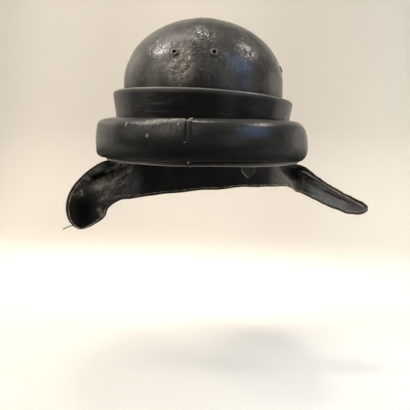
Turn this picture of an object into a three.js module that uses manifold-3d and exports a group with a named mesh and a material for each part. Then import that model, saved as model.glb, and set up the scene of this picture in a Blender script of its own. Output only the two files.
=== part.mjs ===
// Tank crew crash helmet: leather dome, flared band, padded bumper ring and a loose neck guard.
// Millimetres, +Z up. Front is -Y and +X is the viewer's right. The underside of the ring is z = 0.
import * as THREE from "three";
import { mergeVertices } from "three/addons/utils/BufferGeometryUtils.js";
import Module from "manifold-3d";

const wasm = await Module();
wasm.setup();

// The dome's plan is an oval, and every piece round it is that oval moved outward.
const DOME_HALF_WIDTH = 92.5;
const DOME_HALF_LENGTH = 110;
const DOME_WALL = 4;
const DOME_FOOT = -0.6;
const DOME_SPRING = 86;
const DOME_TOP = 160;
const GAP = 0.35;
const STEPS_ROUND = 60;

const VENT_HEIGHT = 106.5;
const VENT_HOLE = 1.7;
const VENT_TUBE = 2.5;
const VENT_FLANGE = 3.9;
const VENTS = [
  { name: "vent_eyelet_front_left", azimuth: -12.5 },
  { name: "vent_eyelet_front_right", azimuth: 12.5 },
  { name: "vent_eyelet_side_left", azimuth: -90 },
  { name: "vent_eyelet_side_right", azimuth: 90 },
];

// The band leans outward to its top edge, which sits askew: higher on the left and at the front.
const BAND_FOOT = 11;
const BAND_TOP = 71.5;
const BAND_WALL = 2.4;
const BAND_FLARE = 8.6;
const BAND_SKEW = 4;
const BAND_FRONT_RISE = -0.6;

const RING_INNER = 97.4;
const RING_OUTER = 124;
const RING_TOP = 47;
const RING_LEAN = 3.5;
const RING_FRONT_DIP = 4.5;
const SEAM_WIDTH = 1.6;
const SEAM_DEPTH = 1.4;

const BINDING_WALL = 1.6;
const BINDING_FOOT = -2.6;
const BINDING_OUTSIDE = 9;
const BINDING_INSIDE = 12;

const TONGUE_AZIMUTH = 41;
const TONGUE_HALF_WIDTH = 9.5;
const TONGUE_TOP = 26;
const TONGUE_TIP = -15.5;
const TONGUE_WALL = 1.6;

const GUARD_WALL = 2.2;
const GUARD_MIDDLE = 95.9;
const GUARD_MARGIN = 8;
const GUARD_KNEE = -3;
const GUARD_FADE = 14;
const GUARD_STEPS_ACROSS = 8;
const GUARD_STEPS_A_ROW = 3;
// Where the guard is sewn on: azimuth from the front, lean from upright and width below the rim.
const GUARD_SEWN = [
  { azimuth: 132, lean: 38, width: 42 },
  { azimuth: 150, lean: 32, width: 43 },
  { azimuth: 180, lean: 18, width: 45 },
  { azimuth: 210, lean: 8, width: 48 },
  { azimuth: 234, lean: 3, width: 49 },
];
// The turned-out ends, a row for each section across the leather from its outer to its inner edge.
const LEFT_END = [
  { outer: [-88, 47, -3], inner: [-88.5, 47, -52.5] },
  { outer: [-97, 31, -3], inner: [-96, 32, -53] },
  { outer: [-108.5, 18.5, -3], inner: [-104, 20.5, -53] },
  { outer: [-122, 8, -4], inner: [-111, 13, -56.5] },
  { outer: [-137, 0, -13], inner: [-116.5, 8, -61.5] },
  { outer: [-150.5, -5.5, -25.5], inner: [-118.5, 5, -66] },
  { outer: [-160.5, -10, -41], inner: [-119.5, 2.5, -71.5] },
  { outer: [-164.5, -12.5, -59], inner: [-123, -1, -76] },
  { outer: [-162.5, -12.5, -74], inner: [-128.5, -3.5, -80] },
  { outer: [-157, -11, -83], inner: [-136, -6, -84.5] },
  { outer: [-150, -9.5, -87.5], inner: [-145, -8.5, -87.8] },
];
const RIGHT_END = [
  { outer: [83.5, 56, -3], inner: [105.5, 71, -33.5] },
  { outer: [93, 44.5, -3], inner: [112, 51, -34.5] },
  { outer: [106, 38, -4], inner: [117, 32, -37] },
  { outer: [123, 36, -6], inner: [126, 13, -40.5] },
  { outer: [144.5, 35, -20], inner: [143, 1, -47] },
  { outer: [168, 33, -34], inner: [161, -3.5, -54] },
  { outer: [187, 29, -43], inner: [176.5, 1.5, -59] },
  { outer: [197, 24, -48], inner: [188.5, 8.5, -59.5] },
  { outer: [200.5, 18.5, -52.5], inner: [197, 14, -56] },
];
// Folds in the leather: a line, how far it rises on the inner face and how wide it is.
const FOLDS = [
  { from: [-103, 22, -12], to: [-130, 6, -26], rise: -2.4, width: 5 },
  { from: [-124, 8, -36], to: [-142, -4, -68], rise: 3, width: 12 },
  { from: [-150, -7, -34], to: [-156, -10, -64], rise: -2, width: 6 },
  { from: [98, 44, -14], to: [113, 30, -34], rise: 2.6, width: 5 },
  { from: [108, 36, -8], to: [126, 26, -24], rise: -2.2, width: 5 },
  { from: [134, 22, -26], to: [176, 16, -49], rise: 1.8, width: 9 },
];

const LEATHER = { roughness: 0.42, metalness: 0 };

function degrees(angle) {
  return (angle * Math.PI) / 180;
}

// A point of the oval whose reach at the side is given, at an azimuth from the front.
function ovalPoint(azimuth, reach, height) {
  const stretch = (DOME_HALF_LENGTH - DOME_HALF_WIDTH) * Math.min(1, reach / DOME_HALF_WIDTH);
  return new THREE.Vector3(reach * Math.sin(azimuth), -(reach + stretch) * Math.cos(azimuth), height);
}

// Welds the corners of a geometry and drops the triangles that a pole leaves without area.
function weld(geometry) {
  const bare = geometry.clone();
  bare.deleteAttribute("normal");
  bare.deleteAttribute("uv");
  const welded = mergeVertices(bare, 1e-4);
  const kept = [];
  const corners = welded.index.array;
  for (let i = 0; i < corners.length; i += 3) {
    const [a, b, c] = [corners[i], corners[i + 1], corners[i + 2]];
    if (a !== b && b !== c && c !== a) kept.push(a, b, c);
  }
  welded.setIndex(kept);
  return welded;
}

function toSolid(geometry) {
  const welded = weld(geometry);
  return new wasm.Manifold(
    new wasm.Mesh({
      numProp: 3,
      vertProperties: new Float32Array(welded.attributes.position.array),
      triVerts: new Uint32Array(welded.index.array),
    }),
  );
}

function toGeometry(solid) {
  const mesh = solid.getMesh();
  const geometry = new THREE.BufferGeometry();
  geometry.setAttribute("position", new THREE.BufferAttribute(mesh.vertProperties, 3));
  geometry.setIndex(new THREE.BufferAttribute(mesh.triVerts, 1));
  return geometry;
}

// Turns a closed profile of side reach and height round the oval. heightAt may move its heights.
function ovalLathe(profile, heightAt = (azimuth, height) => height) {
  const lathe = new THREE.LatheGeometry([...profile, profile[0]], STEPS_ROUND);
  const spot = lathe.attributes.position;
  for (let i = 0; i < spot.count; i += 1) {
    const azimuth = Math.atan2(spot.getX(i), spot.getZ(i));
    const reach = Math.hypot(spot.getX(i), spot.getZ(i));
    const moved = ovalPoint(azimuth, reach, heightAt(azimuth, spot.getY(i)));
    spot.setXYZ(i, moved.x, moved.y, moved.z);
  }
  return weld(lathe);
}

function profilePoints(pairs) {
  return pairs.map(([reach, height]) => new THREE.Vector2(reach, height));
}

function buildDome() {
  const rise = DOME_TOP - DOME_SPRING;
  const inside = DOME_HALF_WIDTH - DOME_WALL;
  const crown = new THREE.EllipseCurve(0, DOME_SPRING, DOME_HALF_WIDTH, rise, 0, Math.PI / 2);
  const lining = new THREE.EllipseCurve(0, DOME_SPRING, inside, rise - DOME_WALL, 0, Math.PI / 2);
  const foot = profilePoints([[DOME_HALF_WIDTH, DOME_FOOT]]);
  const insideFoot = profilePoints([[inside, DOME_FOOT]]);
  return ovalLathe([...foot, ...crown.getPoints(10), ...lining.getPoints(8).reverse(), ...insideFoot]);
}

// Where a vent goes through the dome, with its axis turned to stand square on the surface.
function ventPlace(azimuth) {
  const rise = DOME_TOP - DOME_SPRING;
  const up = VENT_HEIGHT - DOME_SPRING;
  const reach = DOME_HALF_WIDTH * Math.sqrt(1 - (up / rise) ** 2);
  const spot = ovalPoint(degrees(azimuth), reach, VENT_HEIGHT);
  const square = new THREE.Vector3(
    spot.x / DOME_HALF_WIDTH ** 2,
    spot.y / DOME_HALF_LENGTH ** 2,
    up / rise ** 2,
  ).normalize();
  const turn = new THREE.Quaternion().setFromUnitVectors(new THREE.Vector3(0, 1, 0), square);
  return new THREE.Matrix4().compose(spot, turn, new THREE.Vector3(1, 1, 1));
}

function buildVent(azimuth) {
  const tubeEnd = -DOME_WALL - 0.8;
  const profile = profilePoints([
    [VENT_HOLE, tubeEnd],
    [VENT_TUBE, tubeEnd],
    [VENT_TUBE, GAP],
    [VENT_FLANGE, GAP],
    [VENT_FLANGE - 0.1, GAP + 0.6],
    [VENT_FLANGE - 0.8, GAP + 1.1],
    [VENT_TUBE - 0.2, GAP + 1.1],
    [VENT_HOLE, GAP + 0.5],
  ]);
  return weld(new THREE.LatheGeometry([...profile, profile[0]], 14).applyMatrix4(ventPlace(azimuth)));
}

function cutVents(dome) {
  let solid = toSolid(dome);
  for (const { azimuth } of VENTS) {
    const drill = new THREE.CylinderGeometry(VENT_TUBE + GAP, VENT_TUBE + GAP, 24, 14);
    solid = solid.subtract(toSolid(drill.applyMatrix4(ventPlace(azimuth))));
  }
  return toGeometry(solid);
}

function buildBand() {
  const foot = DOME_HALF_WIDTH + GAP;
  const top = foot + BAND_FLARE;
  const soft = 0.7;
  const profile = profilePoints([
    [foot, BAND_FOOT],
    [foot + BAND_WALL, BAND_FOOT],
    [top + BAND_WALL, BAND_TOP - soft],
    [top + BAND_WALL - soft, BAND_TOP],
    [top + soft, BAND_TOP],
    [top, BAND_TOP - soft],
  ]);
  return ovalLathe(profile, (azimuth, height) => {
    const share = (height - BAND_FOOT) / (BAND_TOP - BAND_FOOT);
    return height + share * (BAND_FRONT_RISE * Math.cos(azimuth) - BAND_SKEW * Math.sin(azimuth));
  });
}

function ringProfile(inset) {
  const inner = RING_INNER + inset;
  const outer = RING_OUTER - inset;
  const foot = inset;
  const top = RING_TOP - inset;
  const outline = new THREE.Shape();
  outline.moveTo(inner, foot + 5);
  outline.lineTo(inner, 23);
  outline.lineTo(inner + RING_LEAN, top - 4);
  outline.quadraticCurveTo(inner + RING_LEAN + 0.5, top, inner + RING_LEAN + 5.5, top);
  outline.lineTo(outer - 12, top);
  outline.bezierCurveTo(outer - 6, top, outer - 2, top - 5, outer - 1.2, top - 13);
  outline.bezierCurveTo(outer + 0.2, top - 23, outer + 0.4, foot + 16, outer - 1.2, foot + 9);
  outline.quadraticCurveTo(outer - 3, foot, outer - 12, foot);
  outline.lineTo(inner + 5, foot);
  outline.quadraticCurveTo(inner, foot, inner, foot + 5);
  return outline.getPoints(4).slice(0, -1).reverse();
}

function buildRing() {
  const dip = (azimuth, height) => {
    const front = Math.max(0, Math.cos(azimuth)) ** 2;
    return height * (1 - (RING_FRONT_DIP / RING_TOP) * front);
  };
  const ring = toSolid(ovalLathe(ringProfile(0), dip));
  const core = toSolid(ovalLathe(ringProfile(SEAM_DEPTH), dip));
  const front = DOME_HALF_LENGTH + RING_OUTER - DOME_HALF_WIDTH;
  const reach = 10;
  const slit = new THREE.BoxGeometry(SEAM_WIDTH, 2 * reach, RING_TOP + 10);
  slit.translate(0, -front + 0.4 * reach, RING_TOP / 2);
  return toGeometry(ring.subtract(toSolid(slit).subtract(core)));
}

function buildBinding() {
  const outside = DOME_HALF_WIDTH + GAP;
  const inside = DOME_HALF_WIDTH - DOME_WALL - GAP;
  const floor = BINDING_FOOT + BINDING_WALL;
  return ovalLathe(
    profilePoints([
      [inside - BINDING_WALL, BINDING_FOOT + 1],
      [inside - BINDING_WALL + 1, BINDING_FOOT],
      [outside + BINDING_WALL - 1, BINDING_FOOT],
      [outside + BINDING_WALL, BINDING_FOOT + 1],
      [outside + BINDING_WALL, BINDING_OUTSIDE],
      [outside, BINDING_OUTSIDE],
      [outside, floor],
      [inside, floor],
      [inside, BINDING_INSIDE],
      [inside - BINDING_WALL, BINDING_INSIDE],
    ]),
  );
}

function buildTongue() {
  const outline = new THREE.Shape();
  outline.moveTo(-TONGUE_HALF_WIDTH, TONGUE_TOP);
  outline.lineTo(-TONGUE_HALF_WIDTH, TONGUE_TIP + TONGUE_HALF_WIDTH);
  outline.lineTo(0, TONGUE_TIP);
  outline.lineTo(TONGUE_HALF_WIDTH, TONGUE_TIP + TONGUE_HALF_WIDTH);
  outline.lineTo(TONGUE_HALF_WIDTH, TONGUE_TOP);
  const plate = new THREE.ExtrudeGeometry(outline, { depth: TONGUE_WALL, bevelEnabled: false });
  const wall = DOME_HALF_WIDTH - DOME_WALL - GAP - BINDING_WALL;
  const azimuth = degrees(TONGUE_AZIMUTH);
  const spot = ovalPoint(azimuth, wall, 0);
  const step = ovalPoint(azimuth + 0.01, wall, 0).sub(spot);
  const inward = new THREE.Vector3(-step.y, step.x, 0).normalize();
  const clear = TONGUE_HALF_WIDTH ** 2 / (2 * wall) + GAP + 0.2;
  plate.rotateX(Math.PI / 2);
  plate.rotateZ(Math.atan2(step.y, step.x));
  plate.translate(spot.x + inward.x * (clear + TONGUE_WALL), spot.y + inward.y * (clear + TONGUE_WALL), 0);
  return weld(plate);
}

// One section of the sewn stretch: upper edge in the slot, knee under the ring, then the leaning drop.
function sewnSection(azimuth) {
  const next = Math.max(1, GUARD_SEWN.findIndex((row) => row.azimuth >= azimuth));
  const [before, after] = [GUARD_SEWN[next - 1], GUARD_SEWN[next]];
  const share = THREE.MathUtils.smoothstep(azimuth, before.azimuth, after.azimuth);
  const lean = degrees(THREE.MathUtils.lerp(before.lean, after.lean, share));
  const width = THREE.MathUtils.lerp(before.width, after.width, share);
  const angle = degrees(azimuth);
  const toEnd = Math.min(azimuth - GUARD_SEWN[0].azimuth, GUARD_SEWN.at(-1).azimuth - azimuth);
  const margin = THREE.MathUtils.lerp(GUARD_KNEE + 1.5, GUARD_MARGIN, Math.min(1, toEnd / GUARD_FADE));
  const upper = ovalPoint(angle, GUARD_MIDDLE, margin);
  const knee = ovalPoint(angle, GUARD_MIDDLE, GUARD_KNEE);
  const outward = ovalPoint(angle, GUARD_MIDDLE + 1, 0).sub(ovalPoint(angle, GUARD_MIDDLE, 0)).normalize();
  const lower = knee.clone().addScaledVector(outward, width * Math.sin(lean));
  lower.z -= width * Math.cos(lean);
  return { upper, knee, lower };
}

// The sections of a turned-out end, smoothed from its rows and carried on from the sewn stretch.
function endSections(rows, sewn) {
  const spots = { upper: [], knee: [], lower: [] };
  for (const section of sewn) {
    for (const key of Object.keys(spots)) spots[key].push(section[key]);
  }
  for (const { outer, inner } of rows) {
    const upper = new THREE.Vector3(...outer);
    const lower = new THREE.Vector3(...inner);
    spots.upper.push(upper);
    spots.knee.push(upper.clone().lerp(lower, 0.12));
    spots.lower.push(lower);
  }
  const curves = {};
  for (const key of Object.keys(spots)) curves[key] = new THREE.CatmullRomCurve3(spots[key]);
  const spans = rows.length + 1;
  const sections = [];
  for (let i = 1; i <= rows.length * GUARD_STEPS_A_ROW; i += 1) {
    const along = (1 + i / GUARD_STEPS_A_ROW) / spans;
    const section = {};
    for (const key of Object.keys(curves)) section[key] = curves[key].getPoint(along);
    sections.push(section);
  }
  return sections;
}

function foldRise(spot) {
  let rise = 0;
  for (const fold of FOLDS) {
    const line = new THREE.Line3(new THREE.Vector3(...fold.from), new THREE.Vector3(...fold.to));
    const away = line.closestPointToPoint(spot, true, new THREE.Vector3()).distanceTo(spot);
    rise += fold.rise * Math.exp(-((away / fold.width) ** 2));
  }
  return rise;
}

function buildGuard() {
  const sewn = [];
  for (let azimuth = GUARD_SEWN[0].azimuth; azimuth <= GUARD_SEWN.at(-1).azimuth; azimuth += 6) {
    sewn.push(sewnSection(azimuth));
  }
  const right = endSections(RIGHT_END, [sewn[1], sewn[0]]).reverse();
  const left = endSections(LEFT_END, [sewn.at(-2), sewn.at(-1)]);
  const sections = [...right, ...sewn, ...left];

  const across = GUARD_STEPS_ACROSS;
  const grid = sections.map(({ upper, knee, lower }) => {
    const row = [];
    for (let j = 0; j <= across; j += 1) {
      if (j <= 2) row.push(upper.clone().lerp(knee, j / 2));
      else row.push(knee.clone().lerp(lower, (j - 2) / (across - 2)));
    }
    return row;
  });
  const inward = (i, j) => {
    const along = grid[Math.min(i + 1, grid.length - 1)][j].clone().sub(grid[Math.max(i - 1, 0)][j]);
    const down = grid[i][Math.min(j + 1, across)].clone().sub(grid[i][Math.max(j - 1, 0)]);
    return along.cross(down).normalize();
  };
  const spots = [];
  for (const side of [1, -1]) {
    for (let i = 0; i < grid.length; i += 1) {
      for (let j = 0; j <= across; j += 1) {
        const rise = foldRise(grid[i][j]) + (side * GUARD_WALL) / 2;
        spots.push(grid[i][j].clone().addScaledVector(inward(i, j), rise));
      }
    }
  }
  const skin = grid.length * (across + 1);
  const at = (side, i, j) => side * skin + i * (across + 1) + j;
  const corners = [];
  const quad = (a, b, c, d) => corners.push(a, b, c, a, c, d);
  for (let i = 0; i + 1 < grid.length; i += 1) {
    for (let j = 0; j < across; j += 1) {
      quad(at(0, i, j), at(0, i + 1, j), at(0, i + 1, j + 1), at(0, i, j + 1));
      quad(at(1, i, j), at(1, i, j + 1), at(1, i + 1, j + 1), at(1, i + 1, j));
    }
    quad(at(0, i, 0), at(1, i, 0), at(1, i + 1, 0), at(0, i + 1, 0));
    quad(at(0, i, across), at(0, i + 1, across), at(1, i + 1, across), at(1, i, across));
  }
  const last = grid.length - 1;
  for (let j = 0; j < across; j += 1) {
    quad(at(0, 0, j), at(0, 0, j + 1), at(1, 0, j + 1), at(1, 0, j));
    quad(at(0, last, j), at(1, last, j), at(1, last, j + 1), at(0, last, j + 1));
  }
  const geometry = new THREE.BufferGeometry().setFromPoints(spots);
  geometry.setIndex(corners);
  return geometry;
}

const helmet = new THREE.Group();

function addPiece(name, geometry, look) {
  const mesh = new THREE.Mesh(geometry, new THREE.MeshStandardMaterial(look));
  mesh.name = name;
  helmet.add(mesh);
}

addPiece("dome", cutVents(buildDome()), { ...LEATHER, color: 0x4a4744 });
for (const { name, azimuth } of VENTS) {
  addPiece(name, buildVent(azimuth), { color: 0x2b2a29, roughness: 0.35, metalness: 0.8 });
}
addPiece("crown_band", buildBand(), { ...LEATHER, color: 0x2a2827 });
addPiece("bumper_ring", buildRing(), { ...LEATHER, color: 0x2d2b2a });
addPiece("rim_binding", buildBinding(), { ...LEATHER, color: 0x4f4b45 });
addPiece("neck_guard", buildGuard(), { ...LEATHER, color: 0x22201f });
addPiece("liner_tongue", buildTongue(), { color: 0x3b392c, roughness: 0.7, metalness: 0 });

export default helmet;
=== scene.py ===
# Tank crew crash helmet: crazed leather over a hard crown, with a flared band, a padded ring and
# a loose neck guard. Metres, +Z up. The helmet's front is -Y, and +X is the viewer's right.
import math

import bmesh
import bpy
from mathutils import Matrix, Vector, geometry, noise


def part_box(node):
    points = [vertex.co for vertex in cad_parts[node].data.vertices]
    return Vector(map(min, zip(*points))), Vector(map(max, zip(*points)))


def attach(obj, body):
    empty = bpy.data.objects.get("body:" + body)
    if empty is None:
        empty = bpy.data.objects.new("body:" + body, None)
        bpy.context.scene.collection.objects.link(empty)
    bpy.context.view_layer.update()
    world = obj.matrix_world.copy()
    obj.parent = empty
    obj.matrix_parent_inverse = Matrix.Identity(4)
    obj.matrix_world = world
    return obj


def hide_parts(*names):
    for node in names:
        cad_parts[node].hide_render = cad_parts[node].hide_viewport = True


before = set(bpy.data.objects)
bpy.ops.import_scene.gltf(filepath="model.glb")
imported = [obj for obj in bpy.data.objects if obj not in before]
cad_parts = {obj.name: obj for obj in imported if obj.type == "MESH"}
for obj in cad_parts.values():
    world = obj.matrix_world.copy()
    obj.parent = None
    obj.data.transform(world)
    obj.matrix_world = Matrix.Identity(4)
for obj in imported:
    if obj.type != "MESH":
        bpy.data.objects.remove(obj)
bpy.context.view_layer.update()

# The studio is one sheet of pale paper that curves up from floor to wall, under soft lamps.
# They hang where the leather mirrors them: left, right, overhead and in front, with a cool window
# at the right, and one more lights the wall behind.
FLOOR_HEIGHT = -0.25
PAPER_WIDE = 3.6
PAPER_AHEAD = 1.8
PAPER_BEHIND = 1.1
PAPER_HIGH = 1.9
PAPER_BEND = 0.35
FLOOR_COLOUR = (0.96, 0.942, 0.885, 1)
FLOOR_FRONT_SHADE_COLOUR = (0.07, 0.068, 0.064, 1)
WALL_LEFT_COLOUR = (0.655, 0.612, 0.555, 1)
WALL_MIDDLE_SHADE_COLOUR = (0.502, 0.466, 0.424, 1)
WALL_RIGHT_COLOUR = (0.725, 0.698, 0.636, 1)
WALL_SHADE_COLOUR = (0.03, 0.03, 0.03, 1)
ROOM_BELOW = (0.05, 0.049, 0.046, 1)
ROOM_LEVEL = (0.095, 0.094, 0.089, 1)
ROOM_ABOVE = (0.46, 0.44, 0.405, 1)


def begin(name, add_primitive, **sizes):
    """Adds a primitive on its own, in edit mode with all of it selected."""
    bpy.ops.object.select_all(action="DESELECT")
    add_primitive(**sizes)
    piece = bpy.context.object
    piece.name = name
    piece.data.name = name
    bpy.ops.object.mode_set(mode="EDIT")
    bpy.ops.mesh.select_all(action="SELECT")
    return piece


def pick(piece, wanted):
    """Selects, in edit mode, only the corners whose place is wanted and what lies between them."""
    bpy.ops.mesh.select_all(action="DESELECT")
    shape = bmesh.from_edit_mesh(piece.data)
    for corner in shape.verts:
        corner.select_set(wanted(corner.co))
    shape.select_flush_mode()
    bmesh.update_edit_mesh(piece.data)


def end(smooth=True):
    """Leaves edit mode with the faces shaded smooth or flat."""
    bpy.ops.object.mode_set(mode="OBJECT")
    if smooth:
        bpy.ops.object.shade_smooth()


class Wire:
    """A socket of a material. Arithmetic on it adds Math nodes, and add() any other node."""

    def __init__(self, tree, socket):
        self.tree = tree
        self.socket = socket

    def feed(self, node, inputs):
        for key, value in inputs.items():
            if isinstance(value, Wire):
                self.tree.links.new(value.socket, node.inputs[key])
            else:
                node.inputs[key].default_value = value

    def add(self, kind, settings, inputs, output=0):
        node = self.tree.nodes.new(kind)
        for key, value in settings.items():
            setattr(node, key, value)
        self.feed(node, inputs)
        return Wire(self.tree, node.outputs[output])

    def math(self, operation, *values):
        return self.add("ShaderNodeMath", {"operation": operation}, dict(enumerate(values)))

    def __add__(self, other):
        return self.math("ADD", self, other)

    def __sub__(self, other):
        return self.math("SUBTRACT", self, other)

    def __rsub__(self, other):
        return self.math("SUBTRACT", other, self)

    def __mul__(self, other):
        return self.math("MULTIPLY", self, other)

    __radd__ = __add__
    __rmul__ = __mul__

    def most(self, other):
        return self.math("MAXIMUM", self, other)

    def vectors(self, operation, other, output=0):
        return self.add("ShaderNodeVectorMath", {"operation": operation}, {0: self, 1: other}, output)

    def step(self, low, high):
        """0 below low and 1 above high, with a soft slope between them."""
        ends = {"Value": self, "From Min": low, "From Max": high}
        return self.add("ShaderNodeMapRange", {"interpolation_type": "SMOOTHSTEP"}, ends)

    def within(self, low, rise, fall, high):
        """1 between rise and fall, with soft slopes out to low and high."""
        return self.step(low, rise) * (1 - self.step(fall, high))

    def axis(self, letter):
        return self.add("ShaderNodeSeparateXYZ", {}, {0: self}, letter)

    def stretched(self, x, y, z):
        return self.vectors("MULTIPLY", (x, y, z))

    def near(self, place, radius):
        """1 at a place, falling softly to 0 at the radius."""
        return 1 - self.vectors("DISTANCE", place, "Value").step(0.25 * radius, radius)

    def clouds(self, size, detail=3.0):
        """Noise between 0 and 1 whose lumps are about a size across."""
        return self.add("ShaderNodeTexNoise", {}, {"Vector": self, "Scale": 1 / size, "Detail": detail})

    def swirled(self, size, far):
        """The same coordinates, shifted up to so far by noise of that size."""
        lumps = {"Vector": self, "Scale": 1 / size, "Detail": 2.0}
        drift = self.add("ShaderNodeTexNoise", {}, lumps, "Color").vectors("SUBTRACT", (0.5, 0.5, 0.5))
        return self.vectors("ADD", drift.vectors("MULTIPLY", (2 * far, 2 * far, 2 * far)))

    def cells(self, size):
        """Distance from the edges of cells about a size across, as a share of that size."""
        kind = {"feature": "DISTANCE_TO_EDGE"}
        return self.add("ShaderNodeTexVoronoi", kind, {"Vector": self, "Scale": 1 / size})

    def pebbles(self, size):
        """Distance from the middles of cells about a size across, as a share of that size."""
        return self.add("ShaderNodeTexVoronoi", {"feature": "F1"}, {"Vector": self, "Scale": 1 / size})

    def plates(self, size, tilt):
        """Heights of flakes about a size across, each leaning its own way by up to a tilt."""
        flakes = {"Vector": self, "Scale": 1 / size, "Smoothness": 0.2}
        leaning = self.add("ShaderNodeTexVoronoi", {"feature": "SMOOTH_F1"}, flakes, "Color")
        middle = Wire(self.tree, leaning.socket.node.outputs["Position"])
        lean = leaning.vectors("SUBTRACT", (0.5, 0.5, 0.5))
        return 2 * tilt * self.vectors("SUBTRACT", middle).vectors("DOT_PRODUCT", lean, "Value")

    def veins(self, size, width, detail=3.0):
        """1 along wandering lines between lumps of noise about a size across, falling to 0 beside them."""
        return 1 - self.math("ABSOLUTE", self.clouds(size, detail) - 0.5).step(0.0, width)

    def painted(self, name):
        return self.add("ShaderNodeAttribute", {"attribute_name": name}, {}, "Fac")

    def tint(self, low, high):
        """Mixes two colours, or colour wires, by this value."""
        return self.add("ShaderNodeMix", {"data_type": "RGBA"}, {0: self, 6: low, 7: high}, 2)


def coat(shader, colour, rough, height, gloss=0.5):
    """Sets a shader's colour, roughness and gloss, and its bumps from heights in metres."""
    normal = height.add("ShaderNodeBump", {}, {"Height": height, "Strength": 1.0, "Distance": 1.0})
    inputs = {"Base Color": colour, "Roughness": rough, "Specular IOR Level": gloss, "Normal": normal}
    colour.feed(shader, inputs)


def shade_over(finish, shader, amount, colour):
    """Paints shade over a finish: a dull one of a colour where the amount is 1."""
    tree = finish.node_tree
    dull = tree.nodes.new("ShaderNodeBsdfPrincipled")
    amount.feed(dull, {"Base Color": colour, "Roughness": 0.9, "Specular IOR Level": 0.04})
    both = {0: amount, 1: Wire(tree, shader.outputs[0]), 2: Wire(tree, dull.outputs[0])}
    mixed = amount.add("ShaderNodeMixShader", {}, both)
    tree.links.new(mixed.socket, tree.nodes["Material Output"].inputs["Surface"])


def new_finish(name):
    """A material with its shader node and the object's coordinates."""
    finish = bpy.data.materials.new(name)
    finish.use_nodes = True
    tree = finish.node_tree
    spot = Wire(tree, tree.nodes.new("ShaderNodeTexCoord").outputs["Object"])
    return finish, tree.nodes["Principled BSDF"], spot


def lamp(name, place, aim, size, power, colour, spread=180):
    """A soft round lamp at a place, turned to face another, with its spread in degrees."""
    light = bpy.data.lights.new(name, "AREA")
    light.shape = "DISK"
    light.size = size
    light.spread = math.radians(spread)
    light.energy = power
    light.color = colour
    holder = bpy.data.objects.new(name, light)
    holder.location = place
    holder.rotation_euler = (Vector(place) - Vector(aim)).to_track_quat("Z", "Y").to_euler()
    bpy.context.collection.objects.link(holder)


paper = begin("studio_paper", bpy.ops.mesh.primitive_plane_add, size=1)
bpy.ops.transform.resize(value=(PAPER_WIDE, PAPER_AHEAD + PAPER_BEHIND, 1))
bpy.ops.transform.translate(value=(0, (PAPER_BEHIND - PAPER_AHEAD) / 2, FLOOR_HEIGHT))
pick(paper, lambda spot: spot.y > PAPER_BEHIND - 0.01)
bpy.ops.mesh.extrude_region_move(TRANSFORM_OT_translate={"value": (0, 0, PAPER_HIGH)})
pick(paper, lambda spot: spot.y > PAPER_BEHIND - 0.01 and spot.z < FLOOR_HEIGHT + 0.01)
bpy.ops.mesh.bevel(offset=PAPER_BEND, segments=16, affect="EDGES")
end()
finish, shader, spot = new_finish("studio_paper")
risen = spot.axis("Y").step(0.3, 0.95)
# Painted shade: the floor is painted darker towards the front.
floor = spot.axis("Y").step(-0.42, -0.20).tint(FLOOR_FRONT_SHADE_COLOUR, FLOOR_COLOUR)
# Painted light: a faint glow is painted into the floor at the right, where it lightens the helmet's shadow.
painted_glow = spot.near((0.27, -0.10, FLOOR_HEIGHT), 0.34).tint((0.035, 0.035, 0.032, 1), (0.27, 0.27, 0.265, 1))
# Painted shade: the wall is painted darker in its middle than at its sides, and a little darker towards its
# top.
wall = spot.axis("X").step(-0.74, -0.36).tint(WALL_LEFT_COLOUR, WALL_MIDDLE_SHADE_COLOUR)
wall = spot.axis("X").step(0.12, 0.66).tint(wall, WALL_RIGHT_COLOUR)
wall = (0.08 * spot.axis("Z").step(-0.10, 0.40)).tint(wall, WALL_SHADE_COLOUR)
spot.feed(shader, {"Base Color": risen.tint(floor, wall), "Roughness": 0.9})
spot.feed(shader, {"Emission Color": painted_glow, "Emission Strength": 1.0})
paper.data.materials.append(finish)

WARM = (1.0, 0.93, 0.825)
COOL = (0.44, 0.62, 1.0)
NEUTRAL = (1.0, 0.97, 0.93)
HELMET = (0, 0, 0.06)
# The lamps that face the helmet: place, width, power and colour.
LAMPS = {
    "lamp_left": ((-0.80, -0.09, 0.98), 0.38, 5.5, WARM),
    "window_left": ((-1.0, -0.52, 0.71), 0.28, 0.8, NEUTRAL),
    "room_left": ((-1.17, -0.42, 0.42), 0.73, 1.7, WARM),
    "ceiling_left": ((-0.96, 0.75, 0.93), 1.24, 2.2, WARM),
    "ceiling_front": ((-0.525, 0.06, 1.185), 0.50, 1.2, WARM),
    "lamp_above": ((-0.03, 0.10, 1.36), 0.20, 2.6, WARM),
    "lamp_right": ((0.81, 0.16, 0.965), 0.28, 3.2, WARM),
    "lamp_front": ((-0.55, -1.2, 0.95), 1.24, 2.8, WARM),
    "window_right": ((1.12, -0.45, 0.70), 0.86, 4.0, COOL),
    "room_right": ((0.85, -0.95, 0.17), 0.7, 0.7, WARM),
    "corner_right": ((1.30, -0.15, 0.12), 0.5, 0.22, WARM),
    "room_front": ((-0.78, -0.96, 0.53), 0.55, 0.9, WARM),
    "panel_left": ((-1.49, 0.87, 0.27), 1.58, 3.7, WARM),
    "panel_right": ((1.35, 1.0, 0.15), 0.90, 1.6, WARM),
}
for name, (place, wide, power, colour) in LAMPS.items():
    lamp(name, place, HELMET, wide, power, colour)
lamp("wall_light", (-0.40, 0.35, 1.5), (0, PAPER_BEHIND, 0.0), 0.90, 5.6, WARM, spread=75)

room = bpy.data.worlds.new("room")
room.use_nodes = True
room_tree = room.node_tree
sky = Wire(room_tree, room_tree.nodes.new("ShaderNodeTexCoord").outputs["Generated"]).axis("Z")
upper = sky.step(0.25, 0.95).tint(ROOM_LEVEL, ROOM_ABOVE)
sky.feed(room_tree.nodes["Background"], {"Color": sky.step(-0.5, 0.0).tint(ROOM_BELOW, upper)})
scene = bpy.context.scene
scene.world = room
scene.view_settings.view_transform = "Standard"

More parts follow.
